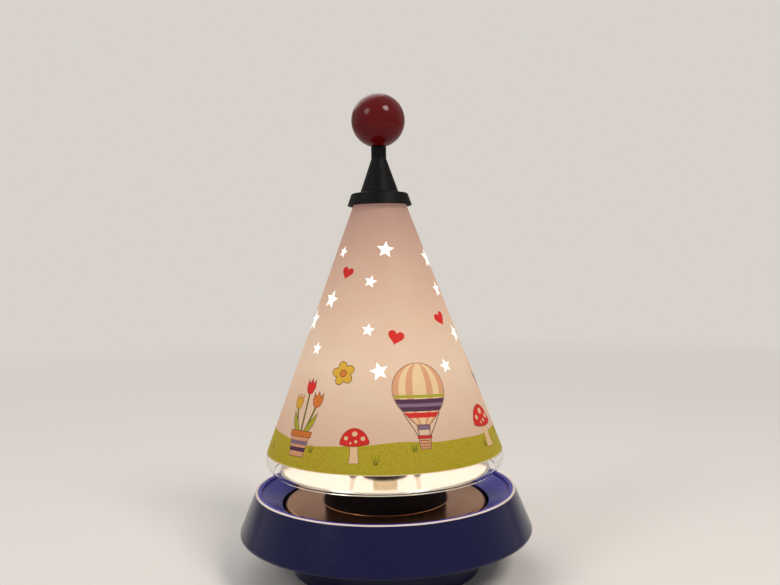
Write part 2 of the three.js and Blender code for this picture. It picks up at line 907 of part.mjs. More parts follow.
// Lampholder group
const washerTop = footCeiling - seat;
const nutTop = washerTop - washerThickness - seat;
const tubeBottom = footTop - tubeBelowFoot;
add("holder_tube", ringPost(tubeRadius, tubeRadius - tubeWall, tubeBottom, holderTubeTop - seat), zincSteel);
add("tube_washer", ringPost(washerRadius, tubeHole, washerTop - washerThickness, washerTop), zincSteel);
add("tube_nut", hexNut(nutFlats, nutHeight, tubeHole), zincSteel, 0, 0, nutTop - nutHeight);
add("lampholder", holderBody(), blackPlastic);
add("collar_nut", collarNut(), blackPlastic);
add("socket_shell", socketShell(), brass);
add("contact_tongue", contactTongue(), brass);

// Bulb group
const insulatorTop = capBottom - seat;
const insulatorBottom = insulatorTop - insulatorHeight;
const insulatorRadius = capThreadRadius - capThreadDepth;
const tipTop = insulatorBottom - seat;
add("bulb_cap", bulbCap(), nickel);
add("cap_insulator", post(insulatorRadius, insulatorBottom, insulatorTop), blackPlastic);
add("cap_contact", post(tipRadius, tipTop - tipHeight, tipTop), nickel);
add("bulb_glass", bulbGlass(), clearGlass);
add("glass_stem", glassStem(), clearGlass);
add("filament", filament(), tungsten);

// Bracket group
add("bracket_bow", wireAlong(bowPoints(), bowWire, bowStepCount), zincSteel);
[["left", -1], ["right", 1]].forEach(([word, side]) => {
  const bush = ringPost(bushRadius, bowWire + seat, bowBottom, bowBottom + bushHeight);
  add(`bracket_bush_${word}`, bush, blackPlastic, side * bowFootSpread, 0, 0);
});
add("needle_holder", needleHolder(), brass);
add("needle", needle(), zincSteel);

// Turning group
add("bearing_cup", bearingCup(), brass);
add("shade_cone", shadeCone(), shadePrint);
add("clear_rim", clearRim(), clearPlastic);
add("turbine_wheel", turbineWheel(), whitePlastic);
add("spindle", post(spindleRadius, spindleBottom, spindleTop), zincSteel);
add("spindle_nut", hexNut(spindleNutFlats, spindleNutHeight, spindleHole), zincSteel, 0, 0, hubTop + seat);
add("finial", finial(), blackPlastic);
add("ball", ball(), redLacquer);

export default lamp;
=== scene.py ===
# Looks of the carousel projector lamp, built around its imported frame.
# Lengths here are in millimetres, and meshes in metres. +Z is up, the front is towards -Y,
# and an azimuth is counted from the front towards +X.
import math

import bmesh
import bpy
from mathutils import Matrix, Vector, geometry


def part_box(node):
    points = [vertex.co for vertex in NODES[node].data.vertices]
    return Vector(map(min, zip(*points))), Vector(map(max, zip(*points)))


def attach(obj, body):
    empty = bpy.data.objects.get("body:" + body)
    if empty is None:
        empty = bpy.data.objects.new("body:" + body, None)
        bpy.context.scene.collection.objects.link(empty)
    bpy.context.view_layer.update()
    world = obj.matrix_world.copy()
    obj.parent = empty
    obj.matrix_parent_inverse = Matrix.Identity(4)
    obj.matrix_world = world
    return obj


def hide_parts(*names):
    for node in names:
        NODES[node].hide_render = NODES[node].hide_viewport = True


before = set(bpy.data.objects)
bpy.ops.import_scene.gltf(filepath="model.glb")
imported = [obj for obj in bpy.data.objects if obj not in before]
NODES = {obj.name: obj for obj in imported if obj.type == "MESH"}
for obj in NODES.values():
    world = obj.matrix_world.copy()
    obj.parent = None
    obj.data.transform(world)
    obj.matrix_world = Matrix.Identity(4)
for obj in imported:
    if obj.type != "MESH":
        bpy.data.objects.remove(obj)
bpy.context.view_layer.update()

MM = 0.001
FULL = 2 * math.pi

# Camera: the picture's frame, and what was measured in it
PICTURE_WIDTH = 780
PICTURE_HEIGHT = 585
FOCAL_PIXELS = 800
HORIZON_Y = 270
AXIS_X = 381
CAMERA_DISTANCE = 501
CAMERA_HEIGHT = 185.1
CAMERA_ROLL = math.radians(1.15)

# Counts of sides and steps
TURNED_SIDES = 144
SMALL_SIDES = 64
SHADE_SIDES = 144
FILLET_STEPS = 6
CURVE_STEPS = 8

# Where smooth shading ends
SHARP_ANGLE = math.radians(38)

# Turns a piece's +Z to the rear
TO_REAR = Matrix.Rotation(-math.pi / 2, 4, "X")


# Colours

def tone(red, green, blue):
    """Linear colour of an sRGB colour that is given in 0 to 255."""
    def linear(share):
        if share <= 0.04045:
            return share / 12.92
        return ((share + 0.055) / 1.055) ** 2.4
    return (linear(red / 255), linear(green / 255), linear(blue / 255), 1.0)


def scaled(colour, factor):
    """A colour made darker or lighter."""
    return tuple(min(channel * factor, 1.0) for channel in colour[:3]) + (1.0,)


# Node trees

# Sockets of a Mix node that mixes colours
MIX_FACTOR, MIX_FIRST, MIX_SECOND, MIX_RESULT = 0, 6, 7, 2


def two_way(operation):
    """An operator on an outlet, and its reflected form."""
    def plain(outlet, other):
        return outlet.tree.maths(operation, outlet, other)

    def reflected(outlet, other):
        return outlet.tree.maths(operation, other, outlet)

    return plain, reflected


class Value:
    """An outlet of a node; arithmetic on it adds Math nodes to its tree."""

    __add__, __radd__ = two_way("ADD")
    __sub__, __rsub__ = two_way("SUBTRACT")
    __mul__, __rmul__ = two_way("MULTIPLY")
    __truediv__, __rtruediv__ = two_way("DIVIDE")
    __pow__, __rpow__ = two_way("POWER")
    __gt__ = two_way("GREATER_THAN")[0]
    __lt__ = two_way("LESS_THAN")[0]

    def __init__(self, tree, socket):
        self.tree = tree
        self.socket = socket


class Tree:
    """Adds nodes to one node tree."""

    def __init__(self, node_tree):
        self.node_tree = node_tree

    def node(self, kind, settings=None, sockets=None, outlet=0):
        """A node of a type: its settings come first, then the values or links of its sockets."""
        made = self.node_tree.nodes.new(kind)
        for name, setting in (settings or {}).items():
            if name == "stops":
                self.set_stops(made.color_ramp, setting)
            else:
                setattr(made, name, setting)
        for name, value in (sockets or {}).items():
            self.set_socket(made.inputs[name], value)
        return Value(self, made.outputs[outlet]) if made.outputs else None

    def outlets(self, kind, names, sockets=None):
        """Several outlets of one node."""
        outputs = self.node(kind, None, sockets).socket.node.outputs
        return [Value(self, outputs[name]) for name in names]

    def set_socket(self, socket, value):
        """Links an outlet to a socket, or sets a constant one."""
        if isinstance(value, Value):
            self.node_tree.links.new(value.socket, socket)
        else:
            socket.default_value = value

    @staticmethod
    def set_stops(ramp, stops):
        """Gives a colour ramp its stops, each a share and a colour."""
        while len(ramp.elements) < len(stops):
            ramp.elements.new(1.0)
        for element, (share, colour) in zip(ramp.elements, stops):
            element.position = share
            element.color = colour

    def maths(self, operation, *operands):
        """A Math node on outlets and numbers."""
        return self.node("ShaderNodeMath", {"operation": operation}, dict(enumerate(operands)))

    def mixed(self, first, second, factor, way="MIX"):
        """Colour between two colours, or their product and the like."""
        settings = {"data_type": "RGBA", "blend_type": way}
        sockets = {MIX_FACTOR: factor, MIX_FIRST: first, MIX_SECOND: second}
        return self.node("ShaderNodeMix", settings, sockets, MIX_RESULT)

    def shaded(self, colour, first, second, factor):
        """Colour between two brightnesses of one colour."""
        return self.mixed(scaled(colour, first), scaled(colour, second), factor)


class Finish(Tree):
    """A material on one Principled shader, with its constants set on the shader's own sockets."""

    def __init__(self, name, **constants):
        self.material = bpy.data.materials.new(name)
        self.material.use_nodes = True
        super().__init__(self.material.node_tree)
        self.shader = self.node_tree.nodes["Principled BSDF"]
        for socket, value in constants.items():
            self.feed(socket.replace("_", " "), value)
        self.place = self.node("ShaderNodeTexCoord", outlet="Object")

    def feed(self, socket, value):
        """Gives the shader's socket a value or an outlet."""
        self.set_socket(self.shader.inputs[socket], value)

    def axes(self):
        """The place's three coordinates, in metres."""
        return self.outlets("ShaderNodeSeparateXYZ", "XYZ", {0: self.place})

    def radius(self):
        """Distance from the lamp's axis."""
        x, y, _ = self.axes()
        return (x * x + y * y) ** 0.5

    def noise(self, size, detail, stretch=(1, 1, 1)):
        """Soft noise whose lumps are of a size in mm, drawn out along the axes by the stretch."""
        sockets = {"Vector": self.place, "Scale": [1 / s for s in stretch]}
        spread = self.node("ShaderNodeMapping", None, sockets)
        sockets = {"Vector": spread, "Scale": 1 / (size * MM), "Detail": detail}
        return self.node("ShaderNodeTexNoise", None, sockets, "Fac")

    def specks(self, apart, share):
        """Mask of small round specks a distance in mm apart; the share of it is how far they reach."""
        sockets = {"Vector": self.place, "Scale": 1 / (apart * MM)}
        return self.node("ShaderNodeTexVoronoi", None, sockets, "Distance") < share

    def rings(self, size):
        """Noise in rings about the lamp's axis, as a lathe leaves it."""
        sockets = {"W": self.radius() / (size * MM), "Scale": 1.0, "Detail": 1.0}
        return self.node("ShaderNodeTexNoise", {"noise_dimensions": "1D"}, sockets, "Fac")

    def bump(self, height, depth):
        """Relief of a depth in mm, from a value that goes from 0 to 1."""
        sockets = {"Height": height, "Distance": depth * MM, "Strength": 1.0}
        self.feed("Normal", self.node("ShaderNodeBump", None, sockets))


# Finishes

def moulded(name, colour, roughness, depth=0.012, scuff=0.1, zones=(), **constants):
    """Moulded plastic: faint clouds of tone, a fine skin, and scuffs that are duller.

    Each zone is (inner radius, outer radius, lowest height, colour), in mm: plastic there is painted that
    colour in place of its own, as painted light.
    """
    finish = Finish(name, **constants)
    clouds = finish.noise(22, 3)
    scuffs = finish.noise(5, 6, (3, 3, 0.6)) > 0.62
    dust = finish.specks(2.6, 0.11)
    toned = finish.shaded(colour, 0.9, 1.12, clouds)
    if zones:
        radius = finish.radius()
        height = finish.axes()[2]
    for inner, outer, low, painted_colour in zones:
        within = (radius > inner * MM) * (radius < outer * MM) * (height > low * MM)
        toned = finish.mixed(toned, finish.shaded(painted_colour, 0.94, 1.06, clouds), within)
    finish.feed("Base Color", finish.mixed(toned, scaled(colour, 1.5), dust * 0.15))
    finish.feed("Roughness", roughness + clouds * 0.06 + scuffs * scuff + dust * 0.05)
    finish.bump(finish.noise(0.9, 3), depth)
    return finish.material


def rubbery(name, colour):
    """Dull rubber with a fine grain."""
    finish = Finish(name)
    clouds = finish.noise(6, 4)
    finish.feed("Base Color", finish.shaded(colour, 0.8, 1.35, clouds))
    finish.feed("Roughness", 0.68 + clouds * 0.2)
    finish.bump(finish.noise(0.5, 2), 0.03)
    return finish.material


def metal(name, colour, roughness, ring_size=0.35, ring_depth=0.004, stain=0.12, metallic=1.0):
    """Turned or drawn metal: ring marks of the tool, faint stains, and duller smears."""
    finish = Finish(name, Metallic=metallic)
    marks = finish.rings(ring_size)
    smears = finish.noise(14, 5, (1, 1, 0.5))
    stained = finish.shaded(colour, 1 - stain, 1 + stain / 2, smears)
    finish.feed("Base Color", finish.mixed(stained, scaled(colour, 0.9), marks * 0.3))
    finish.feed("Roughness", roughness + marks * 0.06 + smears * 0.08)
    finish.bump(marks, ring_depth)
    return finish.material


def plated(name, colour, roughness):
    """Plated or drawn wire and sheet with a crystalline, slightly uneven skin."""
    finish = Finish(name, Metallic=1.0)
    grain = finish.noise(0.6, 4)
    finish.feed("Base Color", finish.shaded(colour, 0.85, 1.08, finish.noise(7, 3)))
    finish.feed("Roughness", roughness + grain * 0.14)
    finish.bump(grain, 0.01)
    return finish.material


def clear(name, colour, roughness, index):
    """Clear glass or plastic with a trace of dust."""
    finish = Finish(name, Transmission_Weight=1.0, IOR=index)
    dust = finish.specks(3.1, 0.09)
    finish.feed("Base Color", finish.shaded(colour, 1, 0.9, dust * 0.3))
    finish.feed("Roughness", roughness + dust * 0.1)
    return finish.material


def lacquer(name, colour):
    """Glossy lacquer with faint orange peel and depth of colour."""
    finish = Finish(name, Coat_Roughness=0.05, Specular_IOR_Level=0.12)
    clouds = finish.noise(12, 3)
    dust = finish.specks(2.9, 0.1)
    finish.feed("Base Color", finish.shaded(colour, 0.82, 1.15, clouds))
    finish.feed("Roughness", 0.14 + clouds * 0.05 + dust * 0.2)
    finish.feed("Coat Weight", 0.1 - dust * 0.08)
    finish.bump(finish.noise(1.6, 2), 0.006)
    return finish.material


def glowing(name, colour, hot, strength, grain):
    """A surface that gives light of its own, a little uneven."""
    finish = Finish(name, Emission_Strength=strength, Roughness=0.6)
    clouds = finish.noise(grain, 3)
    finish.feed("Base Color", finish.shaded(colour, 0.94, 1, clouds))
    finish.feed("Emission Color", finish.shaded(hot, 0.9, 1, clouds))
    finish.bump(clouds, 0.01)
    return finish.material


BLUE = tone(12, 14, 56)
# Painted light: the ring's funnel and inner rim are painted this lighter blue, as lit by the lamp
FUNNEL_PAINTED_LIGHT_BLUE = tone(48, 46, 146)
# Painted highlight: a pale line along the top of the ring's outer rim edge, where the lamp's light is
# reflected
RIM_PAINTED_HIGHLIGHT = tone(214, 199, 192)
BLACK = tone(6, 6, 7)
# Painted light on the ring, each zone (inner radius, outer radius, lowest height, colour) in mm: the funnel
# and inner rim lit by the lamp, and a painted highlight along the rim's outer edge
RING_PAINTED_LIGHT_ZONES = [
    (0, 79.4, 42, FUNNEL_PAINTED_LIGHT_BLUE),
    (78.9, 80.8, 50.05, RIM_PAINTED_HIGHLIGHT),
]

blue_plastic = moulded("blue_plastic", BLUE, 0.16, depth=0.005, scuff=0.06, Specular_IOR_Level=0.25)
ring_plastic = moulded(
    "ring_plastic", BLUE, 0.16, depth=0.004, scuff=0.05, zones=RING_PAINTED_LIGHT_ZONES, Specular_IOR_Level=0.2,
)
black_plastic = moulded("black_plastic", BLACK, 0.5, depth=0.015, Specular_IOR_Level=0.1)
pedestal_black = moulded("pedestal_black", tone(27, 22, 21), 0.5, depth=0.015, Specular_IOR_Level=0.12)
black_resin = moulded("black_resin", BLACK, 0.4, depth=0.006, Specular_IOR_Level=0.12)
black_rubber = rubbery("black_rubber", tone(26, 26, 27))
brown_lead = moulded("brown_lead", tone(92, 52, 32), 0.4)
blue_lead = moulded("blue_lead", tone(40, 84, 158), 0.4)
white_plastic = moulded("white_plastic", tone(224, 216, 200), 0.4)
zinc_steel = plated("zinc_steel", tone(196, 198, 200), 0.26)
brass = plated("brass", tone(206, 168, 96), 0.24)
bright_wire = plated("bright_wire", tone(253, 250, 242), 0.5)
nickel = plated("nickel", tone(214, 207, 178), 0.18)
# The steel disc's warm brown tone paints the reflection of the lamp's warm light
disc_metal = metal("disc_metal", tone(198, 142, 94), 0.15, ring_depth=0.0005, metallic=0.92)
mirror_metal = metal("mirror_metal", tone(244, 240, 230), 0.035, 0.8, 0.0006, 0.03)
clear_glass = clear("clear_glass", (0.98, 0.985, 0.98, 1.0), 0.01, 1.5)
clear_plastic = clear("clear_plastic", (0.99, 0.98, 0.95, 1.0), 0.02, 1.17)
red_lacquer = lacquer("red_lacquer", tone(90, 7, 11))
hot_wire = glowing("hot_wire", tone(255, 214, 150), tone(255, 205, 130), 6.0, 2)
lit_inside = glowing("lit_inside", tone(203, 190, 178), tone(255, 236, 229), 0.905, 40)
sheet_end = glowing("sheet_end", tone(240, 222, 190), tone(255, 232, 190), 0.8, 6)


# Outlines, as lists of points

def mirrored(points):
    """Half an outline with its mirror image across the first axis, back the other way."""
    return [*points, *[(-x, y) for x, y in reversed(points) if x]]


def swung(points, turn, x=0.0, y=0.0):
    """Points turned about the origin, then moved."""
    cos, sin = math.cos(turn), math.sin(turn)
    return [(x + u * cos - v * sin, y + u * sin + v * cos) for u, v in points]


def walled(points, wall):
    """Points set off from an open outline by a wall to the left of its way, save for the last."""
    result = []
    for (r, z), (next_r, next_z) in zip(points, points[1:]):
        along = Vector((next_r - r, next_z - z)).normalized()
        result.append((r - wall * along.y, z + wall * along.x))
    return result


def rounded(*corners, steps=FILLET_STEPS):
    """Closed outline of (radius, height) or (radius, height, fillet) corners, with the fillets as arcs."""
    points = []
    for i, (r, z, *fillet) in enumerate(corners):
        corner = Vector((r, z))
        if not fillet:
            points.append(corner)
            continue
        before = (Vector(corners[i - 1][:2]) - corner).normalized()
        after = (Vector(corners[(i + 1) % len(corners)][:2]) - corner).normalized()
        half = before.angle(after) / 2
        centre = corner + (before + after).normalized() * fillet[0] / math.sin(half)
        start = corner + before * fillet[0] / math.tan(half) - centre
        end = corner + after * fillet[0] / math.tan(half) - centre
        points += [centre + start.slerp(end, k / steps) * fillet[0] for k in range(steps + 1)]
    return [tuple(point) for point in points]


def curved(points, steps=CURVE_STEPS):
    """Smooth curve through points of any dimension."""
    path = [Vector(point) for point in points]
    path = [2 * path[0] - path[1], *path, 2 * path[-1] - path[-2]]
    result = []
    for a, b, c, d in zip(path, path[1:], path[2:], path[3:]):
        for k in range(steps):
            t = k / steps
            pull = (c - a) * t + (2 * a - 5 * b + 4 * c - d) * t ** 2 + (3 * b - a - 3 * c + d) * t ** 3
            result.append(tuple(b + pull / 2))
    return [*result, tuple(path[-2])]


def wave(angle):
    """Smooth swing from 0 up to 1 and back, once in a turn."""
    return 0.5 - 0.5 * math.cos(angle)


# Meshes

def reach(node):
    """Radius, lowest and highest height of a round CAD node about the lamp's axis."""
    low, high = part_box(node)
    return high.x / MM, low.z / MM, high.z / MM


def placed(name, data):
    """New object in the scene."""
    thing = bpy.data.objects.new(name, data)
    bpy.context.scene.collection.objects.link(thing)
    return thing


def made(name, mesh, *materials):
    """Object of a bmesh, smooth but for its sharp edges."""
    data = bpy.data.meshes.new(name)
    mesh.to_mesh(data)
    mesh.free()
    for material in materials:
        data.materials.append(material)
    smooth(data)
    return placed(name, data)


def smooth(data):
    """Smooth shading, but for sharp edges."""
    data.polygons.foreach_set("use_smooth", [True] * len(data.polygons))
    data.set_sharp_from_angle(angle=SHARP_ANGLE)


def applied(piece):
    """Turns a piece's modifiers into plain mesh."""
    graph = bpy.context.evaluated_depsgraph_get()
    data = bpy.data.meshes.new_from_object(piece.evaluated_get(graph))
    piece.modifiers.clear()
    if piece.type == "CURVE":
        name = piece.name
        bpy.data.objects.remove(piece)
        return placed(name, data)
    old = piece.data
    piece.data = data
    bpy.data.meshes.remove(old)
    return piece


def evened(piece):
    """Lets large flat faces set the normals beside a fillet."""
    modifier = piece.modifiers.new("evened", "WEIGHTED_NORMAL")
    modifier.keep_sharp = True
    return applied(piece)


def bridged(mesh, first, second):
    """Faces between two closed rows of corners, one of which may be a single corner."""
    faces = []
    for k in range(max(len(first), len(second))):
        corners = [
            first[k % len(first)],
            first[(k + 1) % len(first)],
            second[(k + 1) % len(second)],
            second[k % len(second)],
        ]
        face = list(dict.fromkeys(corners))
        if len(face) > 2:
            faces.append(mesh.faces.new(face))
    return faces


def revolved(name, outline, material, sides=TURNED_SIDES, swell=None):
    """Closed outline of (radius, height) points turned about +Z.

    The swell, where there is one, gives a radius for an angle and a point.
    """
    mesh = bmesh.new()
    rings = []
    for radius, height in outline:
        ring = []
        for k in range(sides if radius > 0 else 1):
            angle = FULL * k / sides
            r = swell(angle, radius, height) if swell and radius > 0 else radius
            ring.append(mesh.verts.new((r * math.cos(angle) * MM, r * math.sin(angle) * MM, height * MM)))
        rings.append(ring)
    for ring, following in zip(rings, rings[1:] + rings[:1]):
        bridged(mesh, ring, following)
    bmesh.ops.recalc_face_normals(mesh, faces=mesh.faces)
    return evened(made(name, mesh, material))


def turned(name, material, *corners, sides=TURNED_SIDES, steps=FILLET_STEPS):
    """Closed outline of corners, with their fillets, turned about +Z."""
    return revolved(name, rounded(*corners, steps=steps), material, sides)


def moved(piece, x=0.0, y=0.0, z=0.0, turn=None):
    """Moves and turns a piece's mesh, so that its object stays at the origin."""
    piece.data.transform(Matrix.Translation((x * MM, y * MM, z * MM)) @ (turn or Matrix.Identity(4)))
    return piece


def merged(name, *pieces):
    """One object of several closed bodies."""
    mesh = bmesh.new()
    materials = []
    for piece in pieces:
        offset = len(materials)
        before = len(mesh.faces)
        mesh.from_mesh(piece.data)
        mesh.faces.ensure_lookup_table()
        for face in mesh.faces[before:]:
            face.material_index += offset
        materials += list(piece.data.materials)
        bpy.data.objects.remove(piece)
    return evened(made(name, mesh, *materials))


def bored(piece, cutter):
    """Cuts the cutter's body out of a piece, with both meshes in mm for the cut."""
    for body in (piece, cutter):
        body.data.transform(Matrix.Scale(1 / MM, 4))
    modifier = piece.modifiers.new("bored", "BOOLEAN")
    modifier.operation = "DIFFERENCE"
    modifier.solver = "EXACT"
    modifier.object = cutter
    piece = applied(piece)
    piece.data.transform(Matrix.Scale(MM, 4))
    bpy.data.objects.remove(cutter)
    smooth(piece.data)
    return evened(piece)


def settled(piece, body, slot, *nodes):
    """Puts a piece on the body it rides on and hides the CAD nodes it stands for; the finish named by slot
    is not used.
    """
    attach(piece, body)
    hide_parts(*nodes)
    return piece


# Geometry node trees

def new_tree(name, **inputs):
    """Geometry node tree with named inputs, each of a kind of socket, and the inputs' values."""
    group = bpy.data.node_groups.new(name, "GeometryNodeTree")
    group.interface.new_socket("Geometry", in_out="OUTPUT", socket_type="NodeSocketGeometry")
    for label, kind in inputs.items():
        group.interface.new_socket(label, in_out="INPUT", socket_type=f"NodeSocket{kind}")
    tree = Tree(group)
    return tree, tree.outlets("NodeGroupInput", inputs)


def close_tree(tree, shape, material):
    """Ends a tree in plain geometry with one material."""
    solid = tree.node("GeometryNodeRealizeInstances", None, {0: shape})
    dressed = tree.node("GeometryNodeSetMaterial", None, {"Geometry": solid, "Material": material})
    tree.node("NodeGroupOutput", None, {0: dressed})
    return tree.node_tree


def round_pattern_tree():
    """Copies of a part, spread evenly on a circle and turned to face out."""
    tree, (part, count, radius, start, material) = new_tree(
        "round_pattern", Part="Object", Count="Int", Radius="Float", Start="Float", Finish="Material",
    )
    angle = start + tree.node("GeometryNodeInputIndex") * FULL / count
    spot = {"X": tree.maths("COSINE", angle) * radius, "Y": tree.maths("SINE", angle) * radius}
    place = tree.node("ShaderNodeCombineXYZ", None, spot)
    points = tree.node("GeometryNodePoints", None, {"Count": count, "Position": place})
    body = tree.node("GeometryNodeObjectInfo", None, {"Object": part}, "Geometry")
    turn = tree.node("ShaderNodeCombineXYZ", None, {"Z": angle})
    sockets = {"Points": points, "Instance": body, "Rotation": turn}
    return close_tree(tree, tree.node("GeometryNodeInstanceOnPoints", None, sockets), material)


def wire_tree():
    """Round wire along the carrier's own curve, with closed ends."""
    tree, (path, radius, sides, material) = new_tree(
        "wire", Path="Geometry", Radius="Float", Sides="Int", Finish="Material",
    )
    circle = {"Resolution": sides, "Radius": radius}
    section = tree.node("GeometryNodeCurvePrimitiveCircle", {"mode": "RADIUS"}, circle)
    sockets = {"Curve": path, "Profile Curve": section, "Fill Caps": True}
    return close_tree(tree, tree.node("GeometryNodeCurveToMesh", None, sockets), material)


def grown(carrier, tree, **inputs):
    """Runs a geometry node tree on a carrier and keeps the result as plain mesh."""
    modifier = carrier.modifiers.new(tree.name, "NODES")
    modifier.node_group = tree
    for item in tree.interface.items_tree:
        if item.in_out == "INPUT" and item.name in inputs:
            modifier[item.identifier] = inputs[item.name]
    piece = applied(carrier)
    smooth(piece.data)
    return piece


ROUND_PATTERN = round_pattern_tree()
WIRE = wire_tree()


def patterned(name, part, material, count, radius, start_degrees=0):
    """Copies of a part on a circle about the lamp's axis; the part itself is used up."""
    carrier = made(name, bmesh.new())
    sizes = {"Count": count, "Radius": radius * MM, "Start": math.radians(start_degrees)}
    piece = grown(carrier, ROUND_PATTERN, Part=part, Finish=material, **sizes)
    bpy.data.objects.remove(part)
    return evened(piece)


def wired(name, points, radius, material, sides=16):
    """Wire of a radius through points, all in mm."""
    curve = bpy.data.curves.new(name, "CURVE")
    curve.dimensions = "3D"
    spline = curve.splines.new("POLY")
    spline.points.add(len(points) - 1)
    for point, (x, y, z) in zip(spline.points, points):
        point.co = (x * MM, y * MM, z * MM, 1)
    return grown(placed(name, curve), WIRE, Radius=radius * MM, Sides=sides, Finish=material)


# Camera

def place_camera():
    """Level camera, slightly rolled.

    Its shift puts the horizon and the lamp's axis where the picture has them.
    """
    data = bpy.data.cameras.new("camera")
    data.lens = data.sensor_width * FOCAL_PIXELS / PICTURE_WIDTH
    data.shift_x = (PICTURE_WIDTH / 2 - AXIS_X) / PICTURE_WIDTH
    data.shift_y = (HORIZON_Y - PICTURE_HEIGHT / 2) / PICTURE_WIDTH
    place = Matrix.Translation((0, -CAMERA_DISTANCE * MM, CAMERA_HEIGHT * MM))
    turn = Matrix.Rotation(math.pi / 2, 4, "X") @ Matrix.Rotation(-CAMERA_ROLL, 4, "Z")
    camera = placed("camera", data)
    camera.matrix_world = place @ turn
    bpy.context.scene.camera = camera
    return camera


camera = place_camera()
bpy.context.view_layer.update()


# Foot

FOOT_WALL = 2.5
TUBE_HOLE = 5.3
INLET_HOLE = 5.1
INLET_NECK = 4.8
INLET_BORE = 3.4
INLET_NECK_BEHIND = 1.2
INLET_NECK_BEFORE = 0.3
PAD_RADIUS = 6
PAD_PLACE = 44
PAD_GROOVE = 0.3
SCREW_PLACE = 48
SCREW_RADIUS = 1.5
SCREW_HEAD_RADIUS = 2.9
SCREW_HEAD_HEIGHT = 1.9
SCREW_POINT = 1.4
RECESS_REACH = 1.5
RECESS_HALF_WIDTH = 0.38
RECESS_ROWS = [(-0.6, 1.1), (0.9, 0.65)]

foot_radius, foot_low, foot_high = reach("foot_housing")
inlet_low, inlet_high = [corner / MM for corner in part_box("cable_inlet")]
inlet_height = (inlet_low.z + inlet_high.z) / 2


def foot_shell():
    """Drum with a closed top, a hole for the lampholder's tube and one for the cord's bush."""
    inside = foot_radius - FOOT_WALL
    ceiling = foot_high - FOOT_WALL
    shell = turned(
        "foot_shell", blue_plastic,
        (inside, foot_low, 0.3),
        (foot_radius, foot_low, 0.7),
        (foot_radius, foot_high, 1.0),
        (TUBE_HOLE, foot_high),
        (TUBE_HOLE, ceiling),
        (inside, ceiling, 0.8),
    )
    bore = turned(
        "bore", blue_plastic,
        (0, -FOOT_WALL),
        (INLET_HOLE, -FOOT_WALL),
        (INLET_HOLE, FOOT_WALL),
        (0, FOOT_WALL),
        sides=48,
    )
    return bored(shell, moved(bore, y=foot_radius - FOOT_WALL / 2, z=inlet_height, turn=TO_REAR))


def cable_bush():
    """Rubber bush with a lip on each side of the foot's wall."""
    lip = inlet_high.x
    inner_face = foot_radius - FOOT_WALL - INLET_NECK_BEHIND
    outer_face = foot_radius + INLET_NECK_BEFORE
    bush = turned(
        "cable_bush", black_rubber,
        (INLET_BORE, inlet_low.y, 0.3),
        (lip, inlet_low.y, 0.6),
        (lip, inner_face, 0.4),
        (INLET_NECK, inner_face),
        (INLET_NECK, outer_face),
        (lip, outer_face, 0.5),
        (lip - 1.1, inlet_high.y, 0.7),
        (INLET_BORE, inlet_high.y, 0.4),
        sides=SMALL_SIDES,
    )
    return moved(bush, z=inlet_height, turn=TO_REAR)


def rubber_feet():
    """Pads with two grooves in the face that stands on the table."""
    _, low, high = reach("rubber_pad_1")
    groove = low + PAD_GROOVE
    pad = turned(
        "pad", black_rubber,
        (0, low),
        (1.6, low),
        (1.9, groove, 0.15),
        (2.5, groove, 0.15),
        (2.8, low),
        (4.0, low),
        (4.3, groove, 0.15),
        (PAD_RADIUS - 1.2, low + 0.1, 0.3),
        (PAD_RADIUS, low + 0.9, 0.5),
        (PAD_RADIUS, high, 0.2),
        (0, high),
        sides=SMALL_SIDES,
    )
    return patterned("rubber_feet", pad, black_rubber, 4, PAD_PLACE, 45)


def cross_cutter(head):
    """Tapered cross that cuts the recess up into a screw's head, whose face is at a height."""
    arm, half = RECESS_REACH, RECESS_HALF_WIDTH
    plan = []
    for k in range(4):
        plan += swung([(arm, half), (half, half), (half, arm)], k * math.pi / 2)
    mesh = bmesh.new()
    rows = []
    for z, share in RECESS_ROWS:
        rows.append([mesh.verts.new((x * share * MM, y * share * MM, (head + z) * MM)) for x, y in plan])
    lower, upper = rows
    bridged(mesh, lower, upper)
    mesh.faces.new(lower[::-1])
    mesh.faces.new(upper)
    bmesh.ops.recalc_face_normals(mesh, faces=mesh.faces)
    return made("cross_cutter", mesh, zinc_steel)


def cover_screws():
    """Pan-head screws with a cross recess, heads down."""
    _, low, high = reach("cover_screw_1")
    joint = low + SCREW_HEAD_HEIGHT
    screw = turned(
        "screw", zinc_steel,
        (0, low),
        (1.6, low, 0.8),
        (SCREW_HEAD_RADIUS, joint - 0.7, 0.5),
        (SCREW_HEAD_RADIUS, joint, 0.1),
        (SCREW_RADIUS, joint),
        (SCREW_RADIUS, high - SCREW_POINT),
        (0, high),
        sides=48,
    )
    return patterned("cover_screws", bored(screw, cross_cutter(low)), zinc_steel, 3, SCREW_PLACE, 30)


settled(foot_shell(), "base", "blue_plastic", "foot_housing")
settled(cable_bush(), "base", "black_rubber", "cable_inlet")
settled(rubber_feet(), "base", "black_rubber", *[f"rubber_pad_{i}" for i in range(1, 5)])
settled(cover_screws(), "base", "zinc_steel", *[f"cover_screw_{i}" for i in range(1, 4)])


# Ring

RING_WALL = 2.6
RIM_RADIUS = 80.3
RIM_WIDTH = 3.6
FUNNEL_DEPTH = 7
FUNNEL_FOOT_RADIUS = 63.9
FUNNEL_FOOT_LENGTH = 3
WELL_RADIUS = 65.1
BOSS_RADIUS = 16.5
BOSS_WALL = 3
BOSS_HEIGHT = 13.7

ring_radius, ring_low, ring_high = reach("base_ring")


